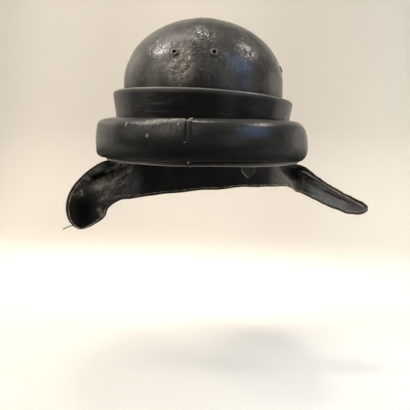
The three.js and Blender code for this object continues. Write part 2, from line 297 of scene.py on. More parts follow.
# The camera stands in front of the helmet and a little to its right.
# It is level with the rim, looks slightly down and leans a little.
PICTURE_WIDE = 410
FOCAL_PIXELS = 498.6
CAMERA_AWAY = 0.6
CAMERA_ASIDE = 0.0043
CAMERA_HEIGHT = 0.0144
CAMERA_TURN = math.radians(5.1)
CAMERA_TILT = math.radians(6.52)
CAMERA_ROLL = math.radians(1.2)

ahead = Vector((-math.sin(CAMERA_TURN), math.cos(CAMERA_TURN), 0))
across = Vector((math.cos(CAMERA_TURN), math.sin(CAMERA_TURN), 0))
up = Vector((0, 0, 1))
sight = ahead * math.cos(CAMERA_TILT) - up * math.sin(CAMERA_TILT)
top = up * math.cos(CAMERA_TILT) + ahead * math.sin(CAMERA_TILT)
level = across * math.cos(CAMERA_ROLL) + top * math.sin(CAMERA_ROLL)
upright = top * math.cos(CAMERA_ROLL) - across * math.sin(CAMERA_ROLL)
camera = bpy.data.objects.new("camera", bpy.data.cameras.new("camera"))
camera.data.sensor_width = 36
camera.data.lens = 36 * FOCAL_PIXELS / PICTURE_WIDE
camera.matrix_world = Matrix((level, upright, -sight)).transposed().to_4x4()
camera.location = across * CAMERA_ASIDE - ahead * CAMERA_AWAY + up * CAMERA_HEIGHT
scene.collection.objects.link(camera)
scene.camera = camera

# The dome is a hard crown of pressed fibre covered in black leather, oval in plan, with straight sides
# behind the band. The finish has shrunk and crazed at the front, and a low keel shows where the crown's
# halves meet.
DOME_WALL = 0.004
DOME_SPRING = 0.086
DOME_SETTLED = 0.0003
DOME_BULGE = 0.09
SHADED_INSIDE_REACH = 0.975
SKIRT_STEPS = 14
KEEL_RISE = 0.0012
KEEL_HALF_WIDTH = 0.016
DENT_DEPTH = 0.0005
DENT_SIZE = 1 / 45
DOME_BLACK = (0.029, 0.0265, 0.0230, 1)
DOME_WORN = (0.116, 0.102, 0.083, 1)
# Patches of crazing: place on the dome, radius and strength.
CRAZED = (
    ((-0.0311, -0.0959, 0.1108), 0.016, 0.40),
    ((0.0040, -0.0915, 0.1268), 0.011, 0.55),
    ((0.0161, -0.0935, 0.1219), 0.012, 0.7),
    ((0.0517, -0.0843, 0.1085), 0.014, 0.9),
    ((-0.0133, -0.1072, 0.0965), 0.018, 1.2),
    ((-0.0095, -0.1092, 0.0885), 0.015, 1.2),
    ((0.0050, -0.1060, 0.1000), 0.036, 0.5),
    ((0.0530, -0.0860, 0.1040), 0.022, 0.25),
)
# The patch low in the middle, which is rubbed as well and painted paler for its sheen: place and radius.
RUBBED_AND_SHEEN = ((-0.0135, -0.1080, 0.0905), 0.023)

dome_low, dome_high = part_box("dome")
half_width, half_length = dome_high.x, dome_high.y
dome_rise = dome_high.z - DOME_SPRING


def finish_piece(piece, node_names, finish):
    """Gives a finished piece its material and the helmet's one body, and hides the CAD nodes that it stands
    for.
    """
    piece.data.materials.clear()
    piece.data.materials.append(finish)
    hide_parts(*node_names)
    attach(piece, "root")


def apply_last(piece):
    """Applies the last modifier of a piece."""
    bpy.ops.object.select_all(action="DESELECT")
    piece.select_set(True)
    bpy.context.view_layer.objects.active = piece
    bpy.ops.object.modifier_apply(modifier=piece.modifiers[-1].name)


def apply_modifier(piece, kind, **settings):
    """Adds one modifier to a piece and applies it."""
    modifier = piece.modifiers.new(kind.lower(), kind)
    for key, value in settings.items():
        setattr(modifier, key, value)
    apply_last(piece)


def paint(piece, name, amount_at):
    """Stores a number on each corner of a piece, for its material to read."""
    layer = piece.data.attributes.new(name, "FLOAT", "POINT")
    for corner, entry in zip(piece.data.vertices, layer.data):
        entry.value = amount_at(corner.co)


def swell(middle, width, place):
    """A smooth hump, 1 at the middle."""
    return math.exp(-(((place - middle) / width) ** 2))


def ramp(low, high, place):
    """0 below low, 1 above high and even between them."""
    return min(1, max(0, (place - low) / (high - low)))


# The four punched holes that take the eyelets: their height, their azimuths from the front and the punch.
EYELET_HEIGHT = 0.1065
EYELETS = {"front_left": -12.5, "front_right": 12.5, "side_left": -90, "side_right": 90}
PUNCH_RADIUS = 0.0028
PUNCH_LENGTH = 0.03
PUNCH_DIMPLE = 0.0002
PUNCH_DIMPLE_WIDTH = 0.0055


def on_oval(azimuth, reach, height):
    """A point at an azimuth from the front on the oval whose reach at the side is given."""
    angle = math.radians(azimuth)
    longer = (half_length - half_width) * min(1, reach / half_width)
    return Vector((reach * math.sin(angle), -(reach + longer) * math.cos(angle), height))


def eyelet_place(azimuth):
    """A matrix that stands a piece square on the dome's surface at an eyelet."""
    risen = EYELET_HEIGHT - DOME_SPRING
    spot = on_oval(azimuth, half_width * math.sqrt(1 - (risen / dome_rise) ** 2), EYELET_HEIGHT)
    out = Vector((spot.x / half_width**2, spot.y / half_length**2, risen / dome_rise**2)).normalized()
    return Matrix.Translation(spot) @ out.to_track_quat("Z", "Y").to_matrix().to_4x4()


dome = begin("dome_leather", bpy.ops.mesh.primitive_uv_sphere_add, segments=240, ring_count=140, radius=1)
pick(dome, lambda spot: spot.z < -0.001)
bpy.ops.mesh.delete(type="VERT")
bpy.ops.mesh.select_all(action="SELECT")
bpy.ops.transform.resize(value=(half_width, half_length, dome_rise), center_override=(0, 0, 0))
bpy.ops.transform.translate(value=(0, 0, DOME_SPRING))
drop = (dome_low.z - DOME_SPRING) / SKIRT_STEPS
for step in range(SKIRT_STEPS):
    bottom = DOME_SPRING + drop * step
    pick(dome, lambda spot: spot.z < bottom + 1e-5)
    bpy.ops.mesh.extrude_region_move(TRANSFORM_OT_translate={"value": (0, 0, drop)})
bpy.ops.mesh.select_all(action="SELECT")
bpy.ops.mesh.normals_make_consistent(inside=False)
end()
holes = [eyelet_place(azimuth) for azimuth in EYELETS.values()]
for corner in dome.data.vertices:
    spot = corner.co.copy()
    above = max(0, spot.z - DOME_SPRING)
    out = Vector((spot.x / half_width, spot.y / half_length, above / DOME_BULGE)).normalized()
    fades = max(0, -out.y) * ramp(0.06, 0.08, spot.z)
    keel = KEEL_RISE * fades * (max(0, 1 - abs(spot.x) / KEEL_HALF_WIDTH) - 0.5)
    dents = DENT_DEPTH * ramp(0.07, 0.09, spot.z) * noise.noise(spot / DENT_SIZE)
    corner.co += out * (keel + dents - DOME_SETTLED)
    for hole in holes:
        away = (corner.co - hole.translation).length
        corner.co -= out * (PUNCH_DIMPLE * swell(0, PUNCH_DIMPLE_WIDTH, away))
apply_modifier(dome, "SOLIDIFY", thickness=DOME_WALL, offset=-1)

cylinder = bpy.ops.mesh.primitive_cylinder_add
punch = begin("punch", cylinder, vertices=24, radius=PUNCH_RADIUS, depth=PUNCH_LENGTH)
end(smooth=False)
punch_mesh = punch.data.copy()
shape = bmesh.new()
for hole in holes:
    known = len(shape.verts)
    shape.from_mesh(punch_mesh)
    bmesh.ops.transform(shape, matrix=hole, verts=list(shape.verts)[known:])
shape.to_mesh(punch.data)
shape.free()
apply_modifier(dome, "BOOLEAN", operation="DIFFERENCE", object=punch, solver="EXACT")
bpy.data.objects.remove(punch)
bpy.data.meshes.remove(punch_mesh)


def in_shaded_inside(spot):
    """1 on the dome's inner face, which is painted in shade, 0 outside."""
    risen = max(0, spot.z - DOME_SPRING) / dome_rise
    return 1 if Vector((spot.x / half_width, spot.y / half_length, risen)).length < SHADED_INSIDE_REACH else 0


def crazed_leather():
    finish, shader, spot = new_finish("crazed_leather")
    x, y, z = (spot.axis(letter) for letter in "XYZ")
    crazed = 0.18 * spot.clouds(0.016, 2).step(0.40, 0.62)
    for place, radius, strength in CRAZED:
        crazed = crazed.most(spot.near(place, radius) * strength)
    crazed = crazed * (0.45 + 0.55 * spot.clouds(0.009, 2).step(0.36, 0.56))
    shrunk = spot.swirled(0.008, 0.003)
    ridges = spot.swirled(0.012, 0.005).veins(0.0075, 0.05)
    flakes = shrunk.plates(0.0062, 0.20) + spot.swirled(0.004, 0.0015).plates(0.0032, 0.07)
    cracks = spot.swirled(0.009, 0.004).veins(0.0055, 0.03)
    long_cracks = 1 - spot.swirled(0.012, 0.003).stretched(0.3, 0.3, 1).cells(0.006).step(0.0, 0.07)
    lined = spot.near((0.046, -0.094, 0.094), 0.024)
    veined = spot.near((0.006, -0.106, 0.100), 0.040)
    streaks = spot.stretched(1, 1, 0.05).clouds(0.0028, 2)
    pores = spot.pebbles(0.0011).step(0.1, 0.7)
    split = (0.35 * lined * long_cracks).most(0.55 * veined * cracks)
    height = crazed * (flakes + 0.00012 * ridges) - 0.00013 * split - 0.000026 * pores
    height = height + 0.00027 * spot.clouds(0.013, 4) + 0.00006 * streaks
    # The rubbed patch is painted pale, partly for wear and partly as painted sheen.
    rubbed_and_sheen = spot.near(*RUBBED_AND_SHEEN) * (0.35 + 0.65 * spot.clouds(0.005, 4).step(0.35, 0.65))
    # Painted light: left of the keel the dome is painted paler, on the side where the light falls.
    lit_beside_keel = x.within(-0.020, -0.012, -0.0035, -0.0015) * z.within(0.078, 0.088, 0.106, 0.120)
    rubbed_and_sheen = rubbed_and_sheen.most(0.30 * lit_beside_keel * (1 - y.step(-0.08, -0.07)))
    paler = spot.clouds(0.03, 5).step(0.35, 0.72) * 0.4 + 0.35 * spot.clouds(0.008, 5).step(0.40, 0.70)
    black = (paler + crazed * (0.2 + 0.6 * ridges)).tint(DOME_BLACK, DOME_WORN)
    pale = (0.9 * rubbed_and_sheen).tint(black, (0.43, 0.385, 0.320, 1))
    colour = (split * 0.65).tint(pale, (0.010, 0.009, 0.008, 1))
    rough = 0.20 + 0.14 * spot.clouds(0.016, 4) - 0.10 * crazed + 0.06 * rubbed_and_sheen
    coat(shader, colour, rough, height, gloss=0.6)
    # The dome's inner face and its lowest part above the band are painted in shade.
    shaded = 0.5 * (1 - (z + 0.04 * x).step(0.068, 0.084))
    shade_over(finish, shader, spot.painted("inside").most(shaded), (0.008, 0.008, 0.007, 1))
    return finish


paint(dome, "inside", in_shaded_inside)
finish_piece(dome, ["dome"], crazed_leather())


# The eyelets are four small black-painted brass grommets set in the dome to let air through.
# Each is a flange outside, a tube through the wall and a rolled end, riveted into a punched hole.
EYELET_HOLE = 0.0017
EYELET_TUBE = 0.0025
EYELET_FLANGE = 0.0041
EYELET_INNER_END = -0.0048
EYELET_SEAT = 0.0002
EYELET_EDGE = 0.0006
EYELET_CURL = 0.0012
EYELET_TOP = 0.0014


def turned(name, rows, sides):
    """A closed ring turned from rows of reach and height: a circle extruded from row to row and bridged."""
    reach, height = rows[0]
    piece = begin(name, bpy.ops.mesh.primitive_circle_add, vertices=sides, radius=reach)
    bpy.ops.transform.translate(value=(0, 0, height))
    for next_reach, next_height in rows[1:]:
        bpy.ops.mesh.extrude_region_move(TRANSFORM_OT_translate={"value": (0, 0, next_height - height)})
        bpy.ops.transform.resize(value=(next_reach / reach, next_reach / reach, 1))
        reach, height = next_reach, next_height
    bpy.ops.mesh.select_all(action="DESELECT")
    bpy.ops.mesh.select_non_manifold()
    bpy.ops.mesh.bridge_edge_loops()
    bpy.ops.mesh.select_all(action="SELECT")
    bpy.ops.mesh.normals_make_consistent(inside=False)
    end()
    return piece


def worn_paint_and_sheen():
    finish, shader, spot = new_finish("worn_paint_and_sheen")
    rubbed_and_sheen = spot.clouds(0.0012, 4).step(0.5, 0.68) * spot.clouds(0.004, 2).step(0.4, 0.6)
    # The black paint is given as a pale grey, a painted highlight, and is paler still where it is rubbed
    # through.
    colour = rubbed_and_sheen.tint((0.150, 0.138, 0.118, 1), (0.36, 0.33, 0.28, 1))
    rough = 0.34 + 0.2 * spot.clouds(0.0015)
    height = 0.00004 * spot.clouds(0.0009)
    coat(shader, colour, rough, height)
    spot.feed(shader, {"Metallic": 0.15 + 0.5 * rubbed_and_sheen})
    # The bore of each eyelet is painted black: painted shade.
    shade_over(finish, shader, spot.painted("bore_shade"), (0.002, 0.002, 0.002, 1))
    return finish


eyelet_rows = (
    (EYELET_HOLE, EYELET_INNER_END),
    (EYELET_TUBE, EYELET_INNER_END),
    (EYELET_TUBE, EYELET_SEAT),
    (EYELET_FLANGE, EYELET_SEAT),
    (EYELET_FLANGE, EYELET_EDGE),
    (EYELET_FLANGE - 0.0005, EYELET_CURL),
    (EYELET_TUBE, EYELET_TOP),
    (EYELET_HOLE + 0.0003, EYELET_CURL),
    (EYELET_HOLE, EYELET_EDGE),
)
eyelet = turned("eyelet", eyelet_rows, 20)
apply_modifier(eyelet, "SUBSURF", levels=1, render_levels=1)
paint(eyelet, "bore_shade", lambda spot: 1 if math.hypot(spot.x, spot.y) < EYELET_HOLE + 0.00025 else 0)
eyelet_finish = worn_paint_and_sheen()
for side, azimuth in EYELETS.items():
    copy = bpy.data.objects.new(f"eyelet_{side}", eyelet.data.copy())
    copy.data.transform(eyelet_place(azimuth))
    bpy.context.collection.objects.link(copy)
    finish_piece(copy, [f"vent_eyelet_{side}"], eyelet_finish)
bpy.data.objects.remove(eyelet)

# The crown band is one strap of stiff leather sewn into a hoop round the dome and flared outward.
# Its skived top edge stands off the dome, rubbed pale and painted with a highlight, and sits askew, higher on
# the viewer's left.
BAND_FOOT = 0.011
BAND_TOP = 0.0715
BAND_WALL = 0.0024
BAND_CLEAR = 0.00035
BAND_FLARE = 0.0086
BAND_SKEW = 0.004
BAND_FRONT_RISE = -0.0006
BAND_EDGE = 0.0019
BAND_WAVE = 0.0005
BAND_STEPS = 16


def lay_on_oval(piece):
    """Stretches a round piece front to back into the helmet's oval."""
    for corner in piece.data.vertices:
        reach = math.hypot(corner.co.x, corner.co.y)
        longer = (half_length - half_width) * min(1, reach / half_width)
        corner.co.y *= (reach + longer) / reach


def straight_rows(start, stop, steps):
    """Rows of reach and height along a straight line, without its last point."""
    return [
        (start[0] + (stop[0] - start[0]) * i / steps, start[1] + (stop[1] - start[1]) * i / steps)
        for i in range(steps)
    ]


def band_rows():
    """The band's section: up its outer face, over the rounded edge and down its inner face."""
    foot = half_width + BAND_CLEAR
    top = foot + BAND_FLARE
    shoulder = BAND_TOP - BAND_EDGE
    outside = straight_rows((foot + BAND_WALL, BAND_FOOT), (top + BAND_WALL, shoulder), BAND_STEPS)
    edge = [
        (top + 0.98 * BAND_WALL, shoulder),
        (top + 0.88 * BAND_WALL, BAND_TOP - 0.0013),
        (top + 0.62 * BAND_WALL, BAND_TOP - 0.0004),
        (top + 0.40 * BAND_WALL, BAND_TOP),
        (top + 0.20 * BAND_WALL, BAND_TOP),
        (top + 0.04 * BAND_WALL, BAND_TOP - 0.0004),
        (top, BAND_TOP - 0.0011),
    ]
    inside = [(reach - BAND_WALL, height) for reach, height in reversed(outside)]
    return outside + edge + inside


def tilt_band(spot):
    """How far the band's skew lifts a place on it."""
    share = (spot.z - BAND_FOOT) / (BAND_TOP - BAND_FOOT)
    reach = math.hypot(spot.x, spot.y)
    return share * (-BAND_FRONT_RISE * spot.y - BAND_SKEW * spot.x) / reach


def strap_leather():
    finish, shader, spot = new_finish("strap_leather")
    rubbed_and_sheen = spot.painted("rubbed_and_sheen")
    creases = spot.stretched(12, 12, 260).clouds(1.0, 3).step(0.52, 0.68)
    pores = spot.pebbles(0.0012).step(0.1, 0.7)
    strained_and_sheen = spot.near((-0.034, -0.113, 0.059), 0.036)
    ripples = spot.swirled(0.03, 0.004).stretched(0.14, 0.14, 1).clouds(0.005, 3)
    height = -0.00010 * creases - 0.00003 * pores + 0.00006 * spot.clouds(0.009) + 0.0010 * strained_and_sheen * ripples
    pale_marks = spot.clouds(0.02, 5).step(0.45, 0.75)
    black = (0.6 * pale_marks).tint((0.007, 0.007, 0.0065, 1), (0.022, 0.021, 0.019, 1))
    # The crests of the ripples in the strained patch are painted paler: painted highlight.
    black = (strained_and_sheen * (0.05 + 0.6 * ripples.step(0.46, 0.60))).tint(black, (0.068, 0.064, 0.056, 1))
    colour = (rubbed_and_sheen * (0.6 + 0.4 * spot.clouds(0.006))).tint(black, (0.20, 0.185, 0.16, 1))
    rough = 0.21 + 0.15 * spot.clouds(0.012, 4) + 0.1 * rubbed_and_sheen
    coat(shader, colour, rough, height, gloss=0.45)
    return finish


band = turned("crown_band_leather", band_rows(), 240)
# The top edge is painted pale, partly for wear and partly as a painted highlight.
paint(band, "rubbed_and_sheen", lambda spot: ramp(BAND_TOP - 0.0021, BAND_TOP - 0.0015, spot.z))
lay_on_oval(band)
for corner in band.data.vertices:
    wave = BAND_WAVE * noise.noise(Vector((corner.co.x * 18, corner.co.y * 18, 3)))
    corner.co.z += tilt_band(corner.co) + wave * (corner.co.z - BAND_FOOT) / (BAND_TOP - BAND_FOOT)
finish_piece(band, ["crown_band"], strap_leather())

# The bumper ring is a leather cover drawn over a roll of padding and sewn to the crown under the band.
# Its ends meet in a laced seam at the middle of the front, and its lower edge has a narrow welt.
RING_INNER = 0.0974
RING_LEAN = 0.0035
RING_INSET = 0.0012
RING_SIDES = 280
RING_FRONT_CROWDING = 0.55
RING_FRONT_DIP = 0.0045
RING_BEND = 0.0230
RING_LUMPS = 0.0007
# The cover as cloth: air pressure, weight, stiffness against stretching and bending, the number of frames
# that it is blown up for, and the furthest that it may move.
RING_PRESSURE = 1000
COVER_MASS = 0.01
COVER_STRETCH = 40
COVER_BEND = 2
COVER_MOMENTS = 20
RING_CAP = 0.0018
# Where the cover is held: half width of the seam, height along its foot, and the oval against the crown.
HELD_SEAM = 0.0014
HELD_FOOT = 0.0025
HELD_OVAL = (0.1045, 0.122)
# The middle of the roll of padding: reach and height.
ROLL_MIDDLE = (0.112, 0.022)
# The ring's sides as seen from the front: how far out they lie, and how far the left one is filled
# and the right one leans.
RING_END = 0.124
LEFT_CORNER_FILL = 0.0028
RIGHT_END_LEAN = 0.0016
WELT_TOP = 0.0010
# The wide stretch of the welt at the right: its middle, its half width, and how far it comes down and out.
WELT_WIDE = (0.088, 0.035, 0.0014, 0.0030)
# The welt under the ring's outer edge, a row for each point: how far in from the ring's side it lies
# and how far below its foot.
RING_WELT = (
    (0.0131, 0.0004),
    (0.0124, 0.0010),
    (0.0122, 0.0022),
    (0.0124, 0.0034),
    (0.0134, 0.0042),
    (0.0152, 0.0042),
    (0.0161, 0.0028),
)
# The pale streak along the top of the ring, left of the seam, scuffed and painted as a highlight: start,
# stop, half width and strength.
RING_SCUFFS_AND_SHEEN = (
    ((-0.0421, -0.1265, 0.0383), (-0.0330, -0.1292, 0.0389), 0.0018, 0.8),
    ((-0.0330, -0.1292, 0.0389), (-0.0232, -0.1308, 0.0396), 0.0023, 1.0),
    ((-0.0232, -0.1308, 0.0396), (-0.0053, -0.1312, 0.0408), 0.0025, 1.0),
)
SEAM_AT = -0.0024
SEAM_DEPTH = 0.0008
SEAM_HALF_WIDTH = 0.0009
SEAM_REACH = 0.012
ROLL_FRONT = -0.127
LACE_PITCH = 0.0021
FLAP_WIDTH = 0.0046
FLAP_RISE = 0.0004

_, ring_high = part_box("bumper_ring")


def curve_rows(start, pull, push, stop, steps):
    """Rows along a Bezier curve of reach and height, without its last point."""
    knots = [Vector((*pair, 0)) for pair in (start, pull, push, stop)]
    return [(spot.x, spot.y) for spot in geometry.interpolate_bezier(*knots, steps + 1)[:-1]]


def ring_rows(inset):
    """The padded ring's section, from its inner wall over the top and round the outside to its foot."""
    inner, outer = RING_INNER + inset, ring_high.x - inset
    foot, top = inset, ring_high.z - inset
    neck = inner + RING_LEAN
    shoulder = (neck, top - 0.004)
    crest = (neck + 0.0055, top)
    brow = (outer - 0.012, top)
    cheek = (outer - 0.0012, top - 0.013)
    jaw = (outer - 0.0012, foot + 0.009)
    heel = (outer - 0.012, foot)
    sole = (inner + 0.005, foot)
    seat = (inner, foot + 0.005)
    rows = straight_rows(seat, (inner, RING_BEND), 3)
    rows += straight_rows((inner, RING_BEND), shoulder, 3)
    rows += curve_rows(shoulder, (neck, top - 0.001), (neck + 0.002, top), crest, 4)
    rows += straight_rows(crest, brow, 3)
    rows += curve_rows(brow, (outer - 0.006, top), (outer - 0.002, top - 0.005), cheek, 8)
    rows += curve_rows(cheek, (outer + 0.0002, top - 0.023), (outer + 0.0004, foot + 0.016), jaw, 7)
    rows += curve_rows(jaw, (outer - 0.0024, foot + 0.003), (outer - 0.006, foot), heel, 6)
    rows += [heel]
    rows += [(outer - across, foot - drop) for across, drop in RING_WELT]
    rows += straight_rows((outer - 0.0162, foot), sole, 3)
    rows += curve_rows(sole, (inner + 0.002, foot), (inner, foot + 0.002), seat, 3)
    return rows


def crowd_to_front(piece):
    """Moves the columns of a turned piece closer together at the front, where the seam needs them."""
    for corner in piece.data.vertices:
        reach = math.hypot(corner.co.x, corner.co.y)
        angle = math.atan2(corner.co.x, -corner.co.y)
        angle -= RING_FRONT_CROWDING * math.sin(angle)
        corner.co.x, corner.co.y = reach * math.sin(angle), -reach * math.cos(angle)


def dip_front(spot):
    """The ring is a little lower in the middle of the front."""
    front = max(0, -spot.y / math.hypot(spot.x, spot.y)) ** 2
    spot.z *= 1 - RING_FRONT_DIP / ring_high.z * front


def sewn_down(spot):
    """Whether the cover is held at a place: by the seam, along its foot or against the crown."""
    wide, long = HELD_OVAL
    if abs(spot.x - SEAM_AT) < HELD_SEAM and spot.y < 0:
        return True
    return spot.z < HELD_FOOT or (spot.x / wide) ** 2 + (spot.y / long) ** 2 < 1


def pump_up(piece, held, pressure, cap):
    """Swells a cover as cloth under pressure, held where it is sewn, and caps how far it moves."""
    before = [corner.co.copy() for corner in piece.data.vertices]
    sewn = piece.vertex_groups.new(name="sewn")
    sewn.add([corner.index for corner in piece.data.vertices if held(corner.co)], 1, "REPLACE")
    cloth = piece.modifiers.new("cloth", "CLOTH")
    cloth.settings.vertex_group_mass = "sewn"
    cloth.settings.mass = COVER_MASS
    cloth.settings.use_pressure = True
    cloth.settings.uniform_pressure_force = pressure
    cloth.settings.tension_stiffness = COVER_STRETCH
    cloth.settings.compression_stiffness = COVER_STRETCH
    cloth.settings.bending_stiffness = COVER_BEND
    cloth.settings.effector_weights.gravity = 0
    cloth.point_cache.frame_end = COVER_MOMENTS
    for moment in range(1, COVER_MOMENTS + 1):
        scene.frame_set(moment)
    apply_last(piece)
    scene.frame_set(1)
    for corner, start in zip(piece.data.vertices, before):
        moved = corner.co - start
        if moved.length > cap:
            corner.co = start + moved.normalized() * cap


def ring_leather():
    finish, shader, spot = new_finish("ring_leather")
    x, y, z = (spot.axis(letter) for letter in "XYZ")
    # The ring's pale marks are partly wear and partly painted highlight, along its top and on its welt.
    paler = spot.painted("paler")
    pores = spot.pebbles(0.0013).step(0.1, 0.7)
    wrinkles = spot.swirled(0.02, 0.006).clouds(0.011, 4)
    folds = spot.stretched(1, 1, 0.12).clouds(0.011, 3)
    height = 0.00016 * wrinkles + 0.00035 * folds - 0.00005 * pores + 0.00012 * spot.clouds(0.0028, 3)
    # The top of the ring at the left is painted with pale speckles, a pale streak and a soft glow: partly
    # scuffs, partly painted highlight.
    left_top = x.within(-0.075, -0.045, -0.03, 0.01) * z.step(0.028, 0.039)
    scuffs_and_sheen = spot.clouds(0.0024, 6).step(0.54, 0.66) * left_top
    black = (spot.clouds(0.03, 4) * 0.8).tint((0.010, 0.0102, 0.0090, 1), (0.034, 0.0335, 0.029, 1))
    rubbed_and_sheen = (0.8 * paler).tint(black, (0.17, 0.155, 0.135, 1))
    rubbed_and_sheen = (0.28 * scuffs_and_sheen).tint(rubbed_and_sheen, (0.33, 0.305, 0.265, 1))
    streak_and_sheen = spot.painted("pale_marks") * (0.25 + 0.75 * spot.clouds(0.0022, 4).step(0.42, 0.58))
    soft_sheen = 0.16 * spot.near((-0.0150, -0.1345, 0.0365), 0.018)
    streak_and_sheen = streak_and_sheen.most(soft_sheen * spot.clouds(0.0020, 4).step(0.40, 0.65))
    rubbed_and_sheen = (0.8 * streak_and_sheen).tint(rubbed_and_sheen, (0.60, 0.560, 0.490, 1))
    chip = 0.8 * spot.swirled(0.0022, 0.0011).near((-0.0396, -0.1332, 0.0247), 0.0025)
    crack = spot.stretched(1, 1, 0.22).near((-0.0636, -0.1168, 0.0079), 0.0020)
    specks = spot.near((-0.0122, -0.1311, 0.0405), 0.0018)
    specks = specks.most(spot.near((-0.0097, -0.1364, 0.0361), 0.0017))
    colour = chip.most(0.7 * crack).most(0.6 * specks).tint(rubbed_and_sheen, (0.55, 0.52, 0.45, 1))
    rough = 0.20 + 0.14 * spot.clouds(0.02, 4) + 0.12 * paler
    coat(shader, colour, rough, height, gloss=0.45)
    # The ring's lower side, the slit of its seam with its stitch holes, and a patch at its front left are
    # painted in shade.
    foot = 0.9 * z.within(0.0004, 0.0012, 0.005, 0.021) * (1 - paler.step(0.05, 0.35))
    shaded_slit = (1 - x.math("ABSOLUTE", x - SEAM_AT).step(0.0005, 0.0010)) * (1 - y.step(-0.11, -0.10))
    dashes = z.math("SINE", z * (2 * math.pi / LACE_PITCH)).step(-0.7, 0.2)
    shaded_slit = shaded_slit * (0.4 + 0.6 * z.step(0.017, 0.020)) * (0.45 + 0.55 * dashes)
    shaded = 0.35 * spot.near((-0.0545, -0.1235, 0.0300), 0.034)
    shade_over(finish, shader, foot.most(shaded_slit).most(shaded), (0.006, 0.006, 0.0055, 1))
    return finish


ring = turned("bumper_ring_cover", ring_rows(RING_INSET), RING_SIDES)
crowd_to_front(ring)
welt_middle, welt_half, welt_down, welt_out = WELT_WIDE
roll_reach, roll_height = ROLL_MIDDLE
for corner in ring.data.vertices:
    dip_front(corner.co)
    reach = math.hypot(corner.co.x, corner.co.y)
    middle = Vector((roll_reach * corner.co.x / reach, roll_reach * corner.co.y / reach, roll_height))
    if corner.co.z < WELT_TOP:
        deep = 0.45 + 0.70 * max(0, -corner.co.y) / reach
        wide = swell(welt_middle, welt_half, corner.co.x) if corner.co.y < 0 else 0
        corner.co.z = WELT_TOP + (corner.co.z - WELT_TOP) * deep * (1 + 0.4 * wide) + welt_down * wide
        corner.co.xy *= 1 + welt_out * wide / reach
    corner.co += (corner.co - middle).normalized() * (RING_LUMPS * noise.noise(corner.co * 22))
lay_on_oval(ring)
pump_up(ring, sewn_down, RING_PRESSURE, RING_CAP)
apply_modifier(ring, "SUBSURF", levels=1, render_levels=1)
for corner in ring.data.vertices:
    corners = swell(0.004, 0.006, corner.co.z) + 0.8 * swell(0.041, 0.005, corner.co.z)
    corner.co.x -= LEFT_CORNER_FILL * swell(-RING_END, 0.03, corner.co.x) * corners
    corner.co.x -= RIGHT_END_LEAN * swell(RING_END, 0.03, corner.co.x) * (corner.co.z - 0.013) / 0.022
    if corner.co.y > 0 or abs(corner.co.x) > SEAM_REACH:
        continue
    shut = 0.15 + 0.85 * ramp(0.012, 0.022, corner.co.z)
    in_seam = -SEAM_DEPTH * shut * swell(SEAM_AT, SEAM_HALF_WIDTH, corner.co.x)
    on_flap = FLAP_RISE if 0.001 < corner.co.x - SEAM_AT < FLAP_WIDTH else 0
    out = (corner.co - Vector((corner.co.x, ROLL_FRONT, roll_height))).normalized()
    corner.co += out * (in_seam + on_flap)


def away_from_line(spot, start, stop):
    """How far a place is from the straight line between two others."""
    _, share = geometry.intersect_point_line(spot, Vector(start), Vector(stop))
    return (spot - Vector(start).lerp(Vector(stop), min(1, max(0, share)))).length


def nearness(spot, lines):
    """1 on the nearest of some lines, falling beside it: start, stop, half width and strength of each."""
    return max(
        strength * swell(0, width, away_from_line(spot, start, stop))
        for start, stop, width, strength in lines
    )


def ring_wear_and_sheen(spot):
    """How pale the cover is painted: along its top for wear and as a painted highlight, and on the welt for
    wear and as painted sheen, most at the left and the far right.
    """
    edge = 0.0004 + 0.0008 * swell(welt_middle, welt_half, spot.x)
    welt = 1 - ramp(edge, edge + 0.0008, spot.z)
    if welt > 0 and spot.y < 0:
        return welt * (0.12 + 0.5 * swell(-0.045, 0.03, spot.x) + 0.6 * swell(0.085, 0.028, spot.x))
    return 0.6 * swell(0.044, 0.004, spot.z)


paint(ring, "paler", ring_wear_and_sheen)
paint(ring, "pale_marks", lambda spot: nearness(spot, RING_SCUFFS_AND_SHEEN))
finish_piece(ring, ["bumper_ring"], ring_leather())

# The seam is drawn shut with crossed stitches of waxed thread in its upper half, whose bare ends are pale.
# Every stitch here and on the guard is one short rounded length of thread, copied and laid on the leather.
LACE_TOP = 0.0415
LACE_COUNT = 10
LACE_LIFT = 0.0002
LACE_END_LIFT = 0.0003
THREAD_THICK = 0.0007
# The stitches of one turn of lacing: how far right of the seam and how many turns down each end lies.
LACE_TURN = (
    (-0.0008, 0, 0.0042, 0.5),
    (0.0042, 0.5, -0.0008, 1),
    (0.0034, 0, 0.0056, 0),
)
# The bare ends of thread, above and below the stitches and at the foot: sideways place of both their ends,
# height of both, thickness, and how far round the first end the thread is pale.
LACE_ENDS = (
    (-0.0004, 0.0058, 0.0408, 0.0412, 0.0011, 0.0045),
    (-0.0040, -0.0012, 0.0192, 0.0190, 0.0006, 0.0018),
    (-0.0009, -0.0007, 0.0016, -0.0008, 0.0012, 0.0045),
)


def thread_stitch():
    """A short rounded length of thread along X, one unit long and one thick."""
    piece = begin("thread_stitch", bpy.ops.mesh.primitive_uv_sphere_add, segments=6, ring_count=5, radius=0.5)
    bpy.ops.transform.rotate(value=math.pi / 2, orient_axis="Y", center_override=(0, 0, 0))
    end()
    return piece


